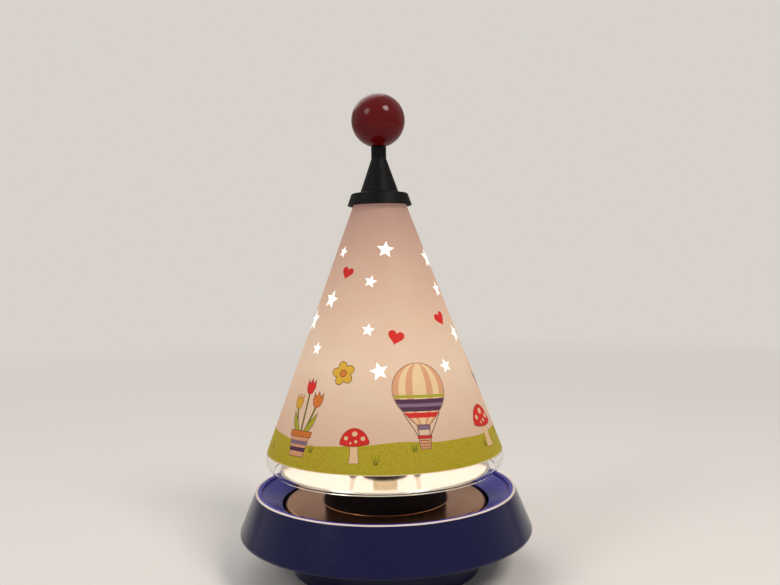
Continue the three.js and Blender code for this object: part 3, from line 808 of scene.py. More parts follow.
def blue_ring():
    """Ring and well in one glossy skin, with a bead along the rim and a soft foot to the funnel."""
    floor = ring_low + RING_WALL
    funnel = ring_high - FUNNEL_DEPTH
    funnel_foot = funnel - FUNNEL_FOOT_LENGTH
    inside = RIM_RADIUS - RIM_WIDTH
    boss_high = floor + BOSS_HEIGHT
    return turned(
        "blue_ring", ring_plastic,
        (ring_radius - 0.35, ring_low, 0.9),
        (ring_radius, ring_low + 1.6, 1.6),
        (RIM_RADIUS, ring_high, 1.3),
        (inside, ring_high, 1.0),
        (inside - 0.5, ring_high - 2.0, 0.6),
        (FUNNEL_FOOT_RADIUS, funnel - 0.8, 0.8),
        (FUNNEL_FOOT_RADIUS, funnel_foot, 0.5),
        (WELL_RADIUS, funnel_foot - 0.8),
        (WELL_RADIUS, floor, 1.5),
        (BOSS_RADIUS, floor, 0.8),
        (BOSS_RADIUS, boss_high, 0.4),
        (BOSS_RADIUS - BOSS_WALL, boss_high, 0.4),
        (BOSS_RADIUS - BOSS_WALL, floor),
        (TUBE_HOLE, floor),
        (TUBE_HOLE, ring_low),
        (WELL_RADIUS + RING_WALL, ring_low, 0.5),
        (WELL_RADIUS + RING_WALL, funnel - RING_WALL, 0.8),
        (inside, ring_high - RIM_WIDTH - 0.6, 0.5),
        (ring_radius - RING_WALL, ring_low, 0.4),
    )


settled(blue_ring(), "base", "blue_plastic", "base_ring", "ring_well")


# Disc, pedestal and mirror plate

DISC_ROLL = 2.4
DISC_THICKNESS = 1
DISC_HOLE = 11.8
DISC_BEAD_GAP = 0.45
DISC_BEAD_WIDTH = 0.8
DISC_BEAD_HEIGHT = 0.35
PEDESTAL_WALL = 2
PEDESTAL_BEAD = 0.5
PEDESTAL_BEAD_HEIGHT = 0.8
MIRROR_ROLL = 1.7
MIRROR_THICKNESS = 1.2
MIRROR_EDGE = 0.8
HOLDER_GAP = 0.3

disc_radius, disc_low, disc_high = reach("metal_disc")
pedestal_radius, pedestal_low, pedestal_high = reach("pedestal")
mirror_radius, mirror_low, mirror_high = reach("mirror_plate")
holder_radius, holder_low, holder_high = reach("lampholder")
holder_hole = holder_radius + HOLDER_GAP


def steel_disc():
    """Disc with a fine bead pressed up round the pedestal, and its edge rolled down."""
    under = disc_high - DISC_THICKNESS
    bead = pedestal_radius + DISC_BEAD_GAP
    bead_end = bead + DISC_BEAD_WIDTH
    bead_high = disc_high + DISC_BEAD_HEIGHT
    return turned(
        "steel_disc", disc_metal,
        (DISC_HOLE, under, 0.3),
        (DISC_HOLE, disc_high, 0.3),
        (bead, disc_high, 0.1),
        (bead + 0.2, bead_high, 0.12),
        (bead_end - 0.2, bead_high, 0.12),
        (bead_end, disc_high, 0.1),
        (disc_radius, disc_high, DISC_ROLL),
        (disc_radius, disc_low, 0.25),
        (disc_radius - DISC_THICKNESS, disc_low, 0.25),
        (disc_radius - DISC_THICKNESS, under, DISC_ROLL - DISC_THICKNESS),
    )


def black_pedestal():
    """Pedestal with a fine bead at its foot, which catches the light."""
    inside = pedestal_radius - PEDESTAL_WALL
    upper = pedestal_radius - PEDESTAL_BEAD
    bead = pedestal_low + PEDESTAL_BEAD_HEIGHT
    ceiling = pedestal_high - PEDESTAL_WALL
    return turned(
        "black_pedestal", pedestal_black,
        (inside, pedestal_low, 0.2),
        (pedestal_radius, pedestal_low, 0.25),
        (pedestal_radius, bead, 0.35),
        (upper, bead, 0.2),
        (upper, pedestal_high, 0.8),
        (holder_hole, pedestal_high, 0.3),
        (holder_hole, ceiling, 0.3),
        (inside, ceiling, 1.0),
    )


def mirror_plate():
    """Polished plate whose edge is rolled down."""
    under = mirror_high - MIRROR_THICKNESS
    return turned(
        "mirror_plate_fine", mirror_metal,
        (holder_hole, under, 0.3),
        (holder_hole, mirror_high, 0.3),
        (mirror_radius, mirror_high, MIRROR_ROLL),
        (mirror_radius, mirror_low, 0.25),
        (mirror_radius - MIRROR_EDGE, mirror_low, 0.25),
        (mirror_radius - MIRROR_EDGE, under, 0.6),
    )


settled(steel_disc(), "base", "polished_steel", "metal_disc")
settled(black_pedestal(), "base", "black_plastic", "pedestal")
settled(mirror_plate(), "base", "mirror_sheet", "mirror_plate")


# Lampholder

HOLDER_LOWER_RADIUS = 11.5
SKIRT_LENGTH = 20
SOCKET_RADIUS = 9.0
SOCKET_FLOOR = 44.0
SOCKET_WALL = 0.5
CONTACT_WAY = 2.9
TUBE_SEAT = 6.3
COLLAR_BAND = 1.1
COLLAR_RIBS = 36
COLLAR_RIB_DEPTH = 0.5
COLLAR_RIB_END = 0.4
# Ribs, knurls and threads take only the points that lie this near their surface's radius or end
NEAR = 0.05
COLLAR_SIDE_SHARES = (-1.02, -0.9, -0.8, 0, 0.8, 0.9, 1.02)
THREAD_PITCH = 2.8
SOCKET_THREAD_DEPTH = 0.35
SOCKET_THREAD_ROWS = 60

collar_radius, collar_low, collar_high = reach("collar_nut")
shell_radius, shell_low, shell_high = reach("socket_shell")


def black_holder():
    """Lampholder with a wider skirt round its socket, on the threaded tube."""
    step = holder_high - SKIRT_LENGTH
    return turned(
        "black_holder", black_resin,
        (TUBE_HOLE, holder_low),
        (HOLDER_LOWER_RADIUS, holder_low, 1.0),
        (HOLDER_LOWER_RADIUS, step, 0.4),
        (holder_radius, step + 1, 0.4),
        (holder_radius, holder_high, 0.9),
        (SOCKET_RADIUS, holder_high, 0.9),
        (SOCKET_RADIUS, SOCKET_FLOOR, 0.5),
        (CONTACT_WAY, SOCKET_FLOOR),
        (CONTACT_WAY, holder_low + TUBE_SEAT),
        (TUBE_HOLE, holder_low + TUBE_SEAT),
        sides=SMALL_SIDES,
    )


def ribbed_collar():
    """Collar nut with grip ribs between two plain bands."""
    middle = (collar_low + collar_high) / 2
    half = (collar_high - collar_low) / 2 - COLLAR_BAND

    def ribs(angle, radius, height):
        fade = min(max(half - abs(height - middle), 0.0), COLLAR_RIB_END) / COLLAR_RIB_END
        on_side = radius > collar_radius - NEAR
        return radius - on_side * fade * COLLAR_RIB_DEPTH * wave(angle * COLLAR_RIBS)

    top = rounded(
        (collar_radius, collar_high, 0.35),
        (holder_hole, collar_high, 0.3),
        (holder_hole, middle),
    )
    outline = [
        (holder_hole, collar_low),
        (collar_radius - 0.3, collar_low),
        (collar_radius, collar_low + 0.3),
        *[(collar_radius, middle + half * share) for share in COLLAR_SIDE_SHARES],
        *top[:-1],
    ]
    return revolved("ribbed_collar", outline, black_resin, COLLAR_RIBS * 8, ribs)


def threaded_socket():
    """Brass shell whose wall follows the cap's thread."""
    def threaded(angle, radius, height):
        return radius - SOCKET_THREAD_DEPTH * (1 - wave(FULL * height / THREAD_PITCH - angle))

    rows = SOCKET_THREAD_ROWS
    heights = [shell_low + (shell_high - shell_low) * k / rows for k in range(rows + 1)]
    outline = [(shell_radius, z) for z in heights]
    outline += [(shell_radius - SOCKET_WALL, z) for z in reversed(heights)]
    return revolved("threaded_socket", outline, brass, SMALL_SIDES, threaded)


settled(black_holder(), "base", "black_plastic", "lampholder")
settled(ribbed_collar(), "base", "black_plastic", "collar_nut")
settled(threaded_socket(), "base", "brass", "socket_shell")


# Bulb

CAP_THREAD_TURNS = 5
CAP_THREAD_DEPTH = 0.5
CAP_THREAD_RADIUS = 6.95
CAP_THREAD_FADE = 0.6
CAP_THREAD_ROWS = 80
CAP_SHEET = 0.4
CAP_SKIRT_LENGTH = 10
CAP_RING_PITCH = 1.6
CAP_RINGS = 3
CAP_RING_DEPTH = 0.3
CAP_RING_STEPS = 8
GLASS_RADIUS = 17.5
GLASS_WALL = 0.8
GLASS_IN_CAP = 0.85
# The inner wall's points that lie nearer the axis are left out, for an even crown
GLASS_CROWN_GAP = 0.3
# Radius and height of the glass, as shares, from its neck to its crown
GLASS_SHARES = [
    (0.55, 0.09), (0.83, 0.23), (0.985, 0.38), (1, 0.47),
    (0.95, 0.6), (0.78, 0.76), (0.51, 0.9), (0.25, 0.97),
]
STEM_RADIUS = 2.2
LEAD_RADIUS = 0.22
COIL_RADIUS = 0.45
COIL_PITCH = 0.45
COIL_WIRE = 0.09
COIL_STEPS = 10
COIL_ARCH_STEPS = 30

cap_radius, cap_low, cap_high = reach("bulb_cap")
_, glass_low, glass_high = reach("bulb_glass")
stem_foot_radius, stem_low, stem_high = reach("glass_stem")
filament_radius, filament_low, filament_high = reach("filament")


def threaded_cap():
    """Cap with a rolled helical thread, a shoulder, a plain skirt and rolled rings up to the glass."""
    thread_high = cap_low + CAP_THREAD_TURNS * THREAD_PITCH
    rings_low = cap_high - CAP_RINGS * CAP_RING_PITCH
    skirt_low = rings_low - CAP_SKIRT_LENGTH
    neck = CAP_THREAD_RADIUS - CAP_THREAD_DEPTH

    def threaded(angle, radius, height):
        if not cap_low + NEAR < height < thread_high + NEAR or radius < CAP_THREAD_RADIUS - NEAR:
            return radius
        fade = min(height - cap_low, thread_high - height, CAP_THREAD_FADE) / CAP_THREAD_FADE
        crest = 1 - wave(FULL * height / THREAD_PITCH - angle)
        return radius - CAP_THREAD_DEPTH * (1 - fade * crest)

    rings = []
    for k in range(CAP_RINGS * CAP_RING_STEPS + 1):
        turns = k / CAP_RING_STEPS
        dip = CAP_RING_DEPTH * (1 - wave(FULL * turns))
        rings.append((cap_radius - dip, rings_low + CAP_RING_PITCH * turns))
    rows = CAP_THREAD_ROWS
    outline = [
        (neck - CAP_SHEET, cap_low),
        *[(CAP_THREAD_RADIUS, cap_low + (thread_high - cap_low) * k / rows) for k in range(rows + 1)],
        *rounded((neck, thread_high, 0.1), (cap_radius, skirt_low, 0.7), (cap_radius, rings_low))[:-1],
        *rings,
        (cap_radius - CAP_RING_DEPTH - CAP_SHEET, cap_high),
        (cap_radius - CAP_RING_DEPTH - CAP_SHEET, skirt_low + 0.5),
        (neck - CAP_SHEET, thread_high + 0.3),
    ]
    return revolved("threaded_cap", outline, nickel, SMALL_SIDES, threaded)


def cap_foot():
    """Black glass insulator."""
    radius, low, high = reach("cap_insulator")
    tip_radius, _, _ = reach("cap_contact")
    return turned(
        "cap_foot", black_resin,
        (0, low),
        (tip_radius + 0.6, low, 0.3),
        (radius, high - 0.5, 0.5),
        (radius, high),
        (0, high),
        sides=SMALL_SIDES,
    )


def solder_tip():
    """Solder dome of the contact."""
    radius, low, high = reach("cap_contact")
    return turned(
        "solder_tip", nickel,
        (0, low),
        (radius * 0.6, low, 0.6),
        (radius, low + 0.5, 0.3),
        (radius, high),
        (0, high),
        sides=SMALL_SIDES,
    )


def glass_body():
    """Blown bulb: one smooth skin from the neck to the crown, with an even wall."""
    neck = cap_radius - GLASS_IN_CAP
    shoulder = cap_high + 1.0
    points = [(neck, glass_low), (neck, cap_high - 1.0)]
    points += [(out * GLASS_RADIUS, shoulder + up * (glass_high - shoulder)) for out, up in GLASS_SHARES]
    outer = curved([*points, (0, glass_high)])
    inner = [point for point in walled(outer, GLASS_WALL) if point[0] > GLASS_CROWN_GAP]
    return revolved("glass_body", [*outer, (0, glass_high - GLASS_WALL), *reversed(inner)], clear_glass, 96)


def stem_glass():
    """Flared stem with its pinch at the top."""
    flared = curved([
        (stem_foot_radius, stem_low + 0.6),
        (STEM_RADIUS * 1.3, stem_low + 2.6),
        (STEM_RADIUS, stem_low + 5),
        (STEM_RADIUS, stem_high - 6),
        (STEM_RADIUS * 0.8, stem_high - 2),
        (STEM_RADIUS * 0.9, stem_high - 0.6),
    ])
    foot = [(0, stem_low), (stem_foot_radius, stem_low)]
    pinch = [(STEM_RADIUS / 2, stem_high), (0, stem_high)]
    return revolved("stem_glass", [*foot, *flared, *pinch], clear_glass, SMALL_SIDES)


def coiled(path):
    """Fine coil about a path that lies in the plane of X and Z."""
    rear = Vector((0, 1, 0))
    turns = []
    travelled = 0.0
    for here, there in zip(path, path[1:]):
        step = there - here
        across = step.normalized().cross(rear)
        count = max(2, round(step.length / COIL_PITCH * COIL_STEPS))
        for k in range(count):
            angle = FULL * (travelled + step.length * k / count) / COIL_PITCH
            offset = across * math.cos(angle) + rear * math.sin(angle)
            turns.append(tuple(here.lerp(there, k / count) + offset * COIL_RADIUS))
        travelled += step.length
    return wired("coil", turns, COIL_WIRE, hot_wire, 5)


def filament_coil():
    """Two bright leads that spread from the stem, and a fine coil in an arch between their ends."""
    rise = filament_high - filament_low
    end = filament_radius - 0.6
    bend = filament_radius * 0.72
    leads = []
    for side in (-1, 1):
        path = [(0.9, 0.1), (1.3, rise * 0.18), (bend, rise * 0.62), (end, rise * 0.8)]
        points = curved([(side * x, 0, filament_low + z) for x, z in path])
        leads.append(wired(f"lead_{side}", points, LEAD_RADIUS, zinc_steel, 8))
    half_arch = [(-end, rise * 0.78), (-bend, rise * 0.9), (-filament_radius * 0.3, rise - 0.9)]
    arch = curved([(x, 0, filament_low + z) for x, z in mirrored(half_arch)], COIL_ARCH_STEPS)
    return merged("filament_coil", *leads, coiled([Vector(point) for point in arch]))


settled(cap_foot(), "bulb", "black_plastic", "cap_insulator")
settled(solder_tip(), "bulb", "nickel", "cap_contact")
settled(threaded_cap(), "bulb", "nickel", "bulb_cap")
bulb_glass = settled(glass_body(), "bulb", "clear_glass", "bulb_glass")
settled(stem_glass(), "bulb", "clear_glass", "glass_stem")
settled(filament_coil(), "bulb", "tungsten", "filament")


# Needle bracket

# Height and spread of the bow, as shares: at its feet, up its legs, and over its head
BOW_FOOT_SHARES = [0, 0.03, 0.06]
BOW_LEG_SHARES = [(0.15, 0.45), (0.3, 0.9), (0.45, 1), (0.62, 0.95)]
BOW_HEAD_SHARES = [(0.76, 0.9), (0.87, 0.7), (0.955, 0.4), (0.99, 0.16), (1, 0)]
BOW_WIRE = 1.1
BOW_FOOT_SPREAD = 20
BOW_SPREAD = 24
KNURLS = 24
KNURL_DEPTH = 0.18
KNURL_END = 2.2
NEEDLE_BORE = 1.25
NEEDLE_SEAT = 3.7
NEEDLE_TAPER = 2.6
CUP_MOUTH = 2.4
CUP_DEPTH = 3.3

_, bow_low, bow_wire_high = reach("bracket_bow")


def bow_wire():
    """Bent wire over the bulb: its legs spread from the bushes and close over the crown."""
    height = bow_wire_high - BOW_WIRE - bow_low
    spread = BOW_SPREAD - BOW_FOOT_SPREAD
    left = [(-BOW_FOOT_SPREAD, z) for z in BOW_FOOT_SHARES]
    left += [(-BOW_FOOT_SPREAD - spread * out, z) for z, out in BOW_LEG_SHARES]
    left += [(-BOW_SPREAD * out, z) for z, out in BOW_HEAD_SHARES]
    points = [(x, 0, bow_low + z * height) for x, z in mirrored(left)]
    return wired("bow_wire", curved(points), BOW_WIRE, bright_wire)


def bush_pair():
    """Stepped bushes that hold the bow's legs."""
    low, high = [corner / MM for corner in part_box("bracket_bush_right")]
    radius = (high.x - low.x) / 2
    bore = BOW_WIRE + 0.1
    bush = turned(
        "bush", black_resin,
        (bore, low.z, 0.2),
        (radius, low.z, 0.4),
        (radius, low.z + 1.6, 0.3),
        (radius - 0.5, low.z + 2.2, 0.3),
        (radius - 0.9, high.z, 0.7),
        (bore, high.z, 0.3),
        sides=SMALL_SIDES,
    )
    return patterned("bush_pair", bush, black_resin, 2, BOW_FOOT_SPREAD)


def needle_seat():
    """Knurled brass holder on the bow's crown."""
    radius, low, high = reach("needle_holder")

    def knurl(angle, r, z):
        on_band = r > radius - NEAR and low + KNURL_END < z < high - KNURL_END
        return r - KNURL_DEPTH * on_band * wave(angle * KNURLS)

    band_ends = (low + KNURL_END, high - KNURL_END)
    knurl_rows = [end + step for end in band_ends for step in (-0.1, 0.1)]
    ends = rounded(
        (radius, high, 0.6),
        (NEEDLE_BORE, high, 0.3),
        (NEEDLE_BORE, high - NEEDLE_SEAT),
        (0, high - NEEDLE_SEAT),
        (0, low),
        (radius, low, 0.5),
    )
    outline = [*[(radius, z) for z in knurl_rows], *ends]
    return revolved("needle_seat", outline, brass, KNURLS * 6, knurl)


def needle_point():
    """Needle with a long, slightly hollow point."""
    radius, low, high = reach("needle")
    point = curved([(radius, high - NEEDLE_TAPER), (radius * 0.55, high - 1.2), (0.08, high - 0.05)])
    return revolved("needle_point", [(0, low), (radius, low), *point, (0, high)], zinc_steel, SMALL_SIDES)


def bearing_cup():
    """Cup with a conical seat for the needle's point."""
    radius, low, high = reach("bearing_cup")
    return turned(
        "bearing_cup_fine", brass,
        (0, low + CUP_DEPTH),
        (0.5, low + CUP_DEPTH - 0.4, 0.3),
        (CUP_MOUTH, low, 0.2),
        (radius, low, 0.3),
        (radius, high, 0.4),
        (0, high),
        sides=SMALL_SIDES,
    )


settled(needle_seat(), "base", "brass", "needle_holder")
settled(needle_point(), "base", "zinc_steel", "needle")
settled(bow_wire(), "base", "zinc_steel", "bracket_bow")
settled(bush_pair(), "base", "black_plastic", "bracket_bush_left", "bracket_bush_right")
settled(bearing_cup(), "bearing", "brass", "bearing_cup")


# Shade: its cone, and places on it

SHADE_WALL = 0.8
SHADE_TOP_RADIUS = 15.7

shade_radius, shade_low, shade_high = reach("shade_cone")
shade_slope = (shade_radius - SHADE_TOP_RADIUS) / (shade_high - shade_low)
shade_angle = math.atan(shade_slope)
shade_slant = (shade_high - shade_low) / math.cos(shade_angle)
shade_wall_across = SHADE_WALL / math.cos(shade_angle)


def up_slope(height):
    """Distance up the shade's slope to a height."""
    return (height - shade_low) / math.cos(shade_angle)


def cone_radius(along):
    """Radius of the shade at a distance up its slope."""
    return shade_radius - along * math.sin(shade_angle)


def on_cone(azimuth, along, inward=0.0):
    """Point of the shade at an azimuth and a distance up its slope, in metres."""
    radius = cone_radius(along) - inward
    height = shade_low + along * math.cos(shade_angle)
    return Vector((radius * math.sin(azimuth), -radius * math.cos(azimuth), height)) * MM


def seen_at(pixel_x, pixel_y):
    """Azimuth and distance up the slope where the line of sight through a pixel meets the shade."""
    ray = Vector((pixel_x - AXIS_X, HORIZON_Y - pixel_y, -FOCAL_PIXELS))
    ray = camera.matrix_world.to_3x3() @ ray
    start = camera.matrix_world.translation / MM
    top = shade_low + shade_radius / shade_slope - start.z
    a = ray.x ** 2 + ray.y ** 2 - (shade_slope * ray.z) ** 2
    b = 2 * (start.x * ray.x + start.y * ray.y + shade_slope ** 2 * top * ray.z)
    c = start.x ** 2 + start.y ** 2 - (shade_slope * top) ** 2
    root = max(b * b - 4 * a * c, 0.0) ** 0.5
    point = start + ray * (-b - root) / (2 * a)
    return math.atan2(point.x, -point.y), up_slope(point.z)


# Shade: shapes of the print, each a list of (across, up) points in mm

LINE_WIDTH = 0.3
# Keeps the dark line from running out in a spike at a sharp corner
MITRE_LIMIT = 0.7
STAR_HOLLOW = 0.45
HEART_STEPS = 36
MOON_STEPS = 20
MOON_TIP = math.radians(52)
MOON_HOLLOW = 0.4

INKS = {
    "sheet": tone(240, 213, 187),
    "meadow": tone(196, 184, 47),
    # Painted light: the edge ink is a bright line where the lamp's light shows at the sheet's lower cut
    # edge
    "edge": tone(246, 240, 190),
    # Painted light: the window's white is the lit inside of the shade, seen through each clear star
    "window": tone(255, 253, 244),
    "line": tone(112, 62, 48),
    "red": tone(226, 52, 46),
    "yellow": tone(226, 178, 62),
    "orange": tone(222, 128, 58),
    "peach": tone(228, 172, 130),
    "cream": tone(247, 216, 168),
    "lime": tone(178, 178, 58),
    "leaf": tone(122, 132, 28),
    "plum": tone(88, 58, 84),
    "lilac": tone(142, 116, 140),
}


def oval(width, height, x=0.0, y=0.0, turn=0.0, steps=28):
    """Ellipse of a width and a height about a point."""
    angles = [FULL * k / steps for k in range(steps)]
    return swung([(width / 2 * math.cos(a), height / 2 * math.sin(a)) for a in angles], turn, x, y)


def star(radius, turn):
    """Star of five points."""
    points = []
    for k in range(10):
        r = radius * (1, STAR_HOLLOW)[k % 2]
        angle = math.pi / 2 + turn + math.pi * k / 5
        points.append((r * math.cos(angle), r * math.sin(angle)))
    return points


def heart(size, turn):
    """Heart of a width, with its tip down."""
    points = []
    for k in range(HEART_STEPS):
        t = FULL * k / HEART_STEPS
        lobes = 13 * math.cos(t) - 5 * math.cos(2 * t) - 2 * math.cos(3 * t) - math.cos(4 * t)
        points.append((size / 2 * math.sin(t) ** 3, size / 32 * lobes))
    return swung(points, turn)


def crescent(radius, turn):
    """Moon that is thickest on its left, with tips that reach round its open side."""
    hollow = MOON_HOLLOW * radius
    tip_x, tip_y = radius * math.cos(MOON_TIP), radius * math.sin(MOON_TIP)
    centre = (radius ** 2 - hollow ** 2) / (2 * (hollow + tip_x))
    inner_radius = centre + hollow
    inner_tip = math.atan2(tip_y, centre - tip_x)
    points = []
    for k in range(MOON_STEPS + 1):
        angle = MOON_TIP + (FULL - 2 * MOON_TIP) * k / MOON_STEPS
        points.append((radius * math.cos(angle), radius * math.sin(angle)))
    for k in range(1, MOON_STEPS):
        angle = inner_tip * (2 * k / MOON_STEPS - 1)
        points.append((centre - inner_radius * math.cos(angle), inner_radius * math.sin(angle)))
    return swung(points, turn)


def panel(low, high, low_half, high_half):
    """Upright shape with level ends, from the height and half the width of each."""
    return [(-low_half, low), (low_half, low), (high_half, high), (-high_half, high)]


def band(path, width, end_width=None):
    """Strip of a width along a path, which narrows or widens to its end."""
    end_width = width if end_width is None else end_width
    points = [Vector(point) for point in path]
    left, right = [], []
    for i, point in enumerate(points):
        along = points[min(i + 1, len(points) - 1)] - points[max(i - 1, 0)]
        across = Vector((-along.y, along.x)).normalized()
        half = (width + (end_width - width) * i / (len(points) - 1)) / 2
        left.append(tuple(point + across * half))
        right.append(tuple(point - across * half))
    return [*left, *reversed(right)]


def signed_area(points):
    """Twice the area of a closed outline, above zero if it runs anticlockwise."""
    return sum(a[0] * b[1] - a[1] * b[0] for a, b in zip(points, points[1:] + points[:1]))


def widened(points):
    """Closed outline pushed out by the width of the print's dark line."""
    way = 1 if signed_area(points) > 0 else -1
    result = []
    for before, here, after in zip(points[-1:] + points[:-1], points, points[1:] + points[:1]):
        first = (Vector(here) - Vector(before)).normalized()
        second = (Vector(after) - Vector(here)).normalized()
        normal = Vector((first.y + second.y, -first.x - second.x)) * way
        length = max(normal.length, MITRE_LIMIT)
        result.append(tuple(Vector(here) + normal / length * LINE_WIDTH * 2 / length))
    return result


def drawn(ink, points):
    """A filled shape on its dark line."""
    return [("line", widened(points)), (ink, points)]


# Right half of the balloon's envelope, from its foot to its crown
BALLOON_SIDE = [(3.4, 14.5), (9, 20), (15.2, 28), (17, 36), (14.6, 44.5), (8.4, 50.6), (0, 52.8)]
# Lowest and highest height of each belt round the balloon, and its ink
BALLOON_BELTS = [
    (19.5, 22.5, "red"),
    (23.3, 26.0, "plum"),
    (26.0, 28.0, "lilac"),
    (28.0, 30.7, "plum"),
    (31.5, 33.2, "lime"),
]
BELT_SHARE = 0.985
# Place and size of each dot on a toadstool's cap, as shares
TOADSTOOL_DOTS = [
    (-0.28, 0.72, 0.13),
    (0.02, 0.84, 0.17),
    (0.3, 0.7, 0.14),
    (0.06, 0.62, 0.1),
    (-0.12, 0.58, 0.07),
]
TULIP = [*mirrored([(-3.0, 6.2), (-3.5, 2.4), (-2.2, -0.6), (0, -1.6)]), *mirrored([(1.5, 3.9), (0, 6.9)])]


def balloon():
    """Hot-air balloon in pale stripes, belted round its lower half, over its basket."""
    layers = []
    for side in (-1, 1):
        for spread in (4.76, 11.56):
            layers.append(("line", band([(side * 3.2, 7.6), (side * spread, 22.04)], 0.5)))
    envelope = curved(mirrored(BALLOON_SIDE), 5)
    layers += drawn("peach", envelope)
    for share, ink in ((0.78, "cream"), (0.52, "peach"), (0.26, "cream")):
        layers.append((ink, [(x * share, y) for x, y in envelope]))
    side = [(x, y) for x, y in envelope if x > 0]

    def half_width(height):
        for (x, y), (next_x, next_y) in zip(side, side[1:]):
            if y <= height <= next_y:
                return (x + (next_x - x) * (height - y) / (next_y - y)) * BELT_SHARE
        return 0.0

    for low, high, ink in BALLOON_BELTS:
        rows = [low + (high - low) * k / 4 for k in range(5)]
        layers.append((ink, mirrored([(half_width(y), y) for y in rows])))
    layers += drawn("lilac", panel(12.6, 15.2, 3.8, 3.3))
    layers += drawn("peach", panel(1.2, 8, 3.1, 3.9))
    for k in range(3):
        y = 2.6 + 1.7 * k
        half = 3.2 + 0.2 * k
        layers.append(("line", band([(-half, y), (half, y)], 0.3)))
    return layers + drawn("red", panel(7.4, 8.8, 4.3, 4.3))


def toadstool():
    """Red cap with cream dots on a cream stem."""
    tall, wide = 30, 26
    neck = wide * 0.1
    joint = tall * 0.55
    stem = curved(mirrored([(-wide * 0.17, 0.4), (-wide * 0.13, joint / 2), (-neck, joint)]), 4)
    left = [(-wide / 2, joint), (-wide * 0.47, joint + tall * 0.14), (-wide * 0.3, tall * 0.9)]
    under = [(wide * 0.3, joint - tall * 0.045), (0, joint - tall * 0.06)]
    cap = curved([*mirrored([*left, (0, tall)]), *mirrored(under), left[0]], 4)[:-1]
    layers = drawn("cream", stem)
    layers.append(("peach", band([(-neck, joint * 0.9), (neck, joint * 0.9)], tall * 0.06)))
    layers += drawn("red", cap)
    for x, y, size in TOADSTOOL_DOTS:
        layers.append(("cream", oval(wide * size * 1.1, wide * size, wide * x, tall * y, steps=16)))
    return layers


def tuft():
    """Three blades of grass."""
    layers = []
    for lean in (-0.55, 0.0, 0.5):
        path = curved([(lean * 1.4, 0), (lean * 2.4, 2.75), (lean * 4.4, 5)], 4)
        layers.append(("leaf", band(path, 0.9, 0.12)))
    return layers


def tulip_pot():
    """Banded pot with three tulips."""
    layers = []
    for lean, tall, ink in ((-0.45, 27, "yellow"), (0.42, 29, "orange"), (0.0, 36, "red")):
        top = (lean * tall * 0.62, tall)
        stalk = curved([(lean * 4, 12), (lean * tall * 0.4, tall * 0.7), top], 5)
        layers.append(("line", band(stalk, 1.3)))
        layers.append(("leaf", band(stalk, 0.8)))
        layers += drawn(ink, swung(TULIP, 0.0, *top))
    for side in (-1, 1):
        leaf = curved([(side * 1.5, 11.5), (side * 7.4, 17), (side * 9.6, 24.5)], 5)
        blade = curved([(side * 9.6, 24.5), (side * 4.6, 18.6), (side * 0.6, 12.5)], 5)
        layers += drawn("lime", [*leaf, *blade[1:]])
    layers += drawn("peach", panel(0.6, 12.2, 5.4, 7.4))
    for low, high, ink in ((3.2, 5.4, "plum"), (6.8, 9.0, "lilac")):
        halves = [5.4 + 2.0 * (y - 0.6) / 11.6 for y in (low, high)]
        layers.append((ink, panel(low, high, *halves)))
    return layers + drawn("orange", panel(11.2, 14.0, 8.2, 8.2))


def blossom():
    """Five round petals about a button."""
    petals = []
    for k in range(5):
        angle = math.pi / 2 + FULL * k / 5
        petals.append(oval(5.06, 3.96, 2.97 * math.cos(angle), 2.97 * math.sin(angle), angle, 18))
    layers = [("line", widened(petal)) for petal in petals]
    layers += [("yellow", petal) for petal in petals]
    return layers + drawn("orange", oval(2.86, 2.86, steps=16))


# Shade: where each shape of the print lies

# Centre in the picture in pixels, size in mm, and turn
FRONT_STARS = [
    (385.5, 249.5, 5.5, -0.14),
    (343.5, 252, 4.0, -0.25),
    (370.5, 281.5, 4.0, -0.29),
    (331.5, 299.5, 6.0, -0.2),
    (368, 330, 4.0, -0.17),
    (317, 348.5, 4.4, 0.0),
    (379, 371.5, 5.5, 0.22),
    (445.5, 365.5, 4.4, 0.2),
    (426.3, 258, 7.4, -0.1),
    (436.8, 289, 5.4, 0.0),
    (454.4, 333, 6.2, 0.25),
    (314.9, 320, 7.6, 0.1),
]
FRONT_HEARTS = [
    (347.5, 272.5, 8.6, -0.25),
    (396, 337, 9.6, -0.3),
    (439.5, 318, 9.6, 0.3),
]
# Azimuth in degrees, height and size in mm, and turn, of what the picture doesn't show
BACK_STARS = [
    (-86, 150, 4.6, 0.2),
    (-104, 178, 3.6, -0.2),
    (-118, 141, 5.2, 0.1),
    (-141, 165, 3.8, 0.3),
    (-160, 188, 4.4, 0.0),
    (-166, 146, 3.6, -0.1),
    (172, 172, 3.8, 0.2),
    (158, 140, 5.0, 0.0),
    (139, 186, 3.6, -0.3),
    (128, 156, 4.2, 0.1),
    (106, 143, 3.8, 0.2),
    (92, 176, 4.4, -0.1),
    (-128, 200, 3.4, 0.2),
    (-100, 205, 3.4, 0.1),
    (118, 204, 3.2, 0.0),
    (163, 208, 3.2, 0.2),
]
BACK_MOONS = [
    (-97, 118, 5.4, 0.3),
    (148, 116, 5.4, -0.2),
    (-150, 124, 4.6, 2.9),
]
BACK_HEARTS = [
    (-93, 166, 8.6, 0.25),
    (-136, 148, 9.6, -0.3),
    (150, 158, 9.0, 0.2),
    (112, 124, 9.4, -0.25),
    (-172, 128, 8.6, 0.15),
]
# Shape, azimuth in degrees, height in mm, scale and turn
PICTURES = [
    (balloon, 19.5, 86, 0.93, -0.04),
    (tulip_pot, -46, 80.5, 1.05, 0.03),
    (toadstool, -14, 80.5, 0.64, 0.05),
    (blossom, -25, 127, 1.25, 0.2),
    (toadstool, 62, 81, 0.84, -0.05),
    (balloon, 90, 95, 0.85, -0.06),
    (toadstool, 139, 82, 1.0, -0.06),
    (tulip_pot, -118, 83, 0.9, 0.0),
    (blossom, 122, 171, 0.8, 0.4),
    (blossom, -112, 190, 0.8, 0.0),
    (toadstool, -168, 81, 0.8, 0.04),
]
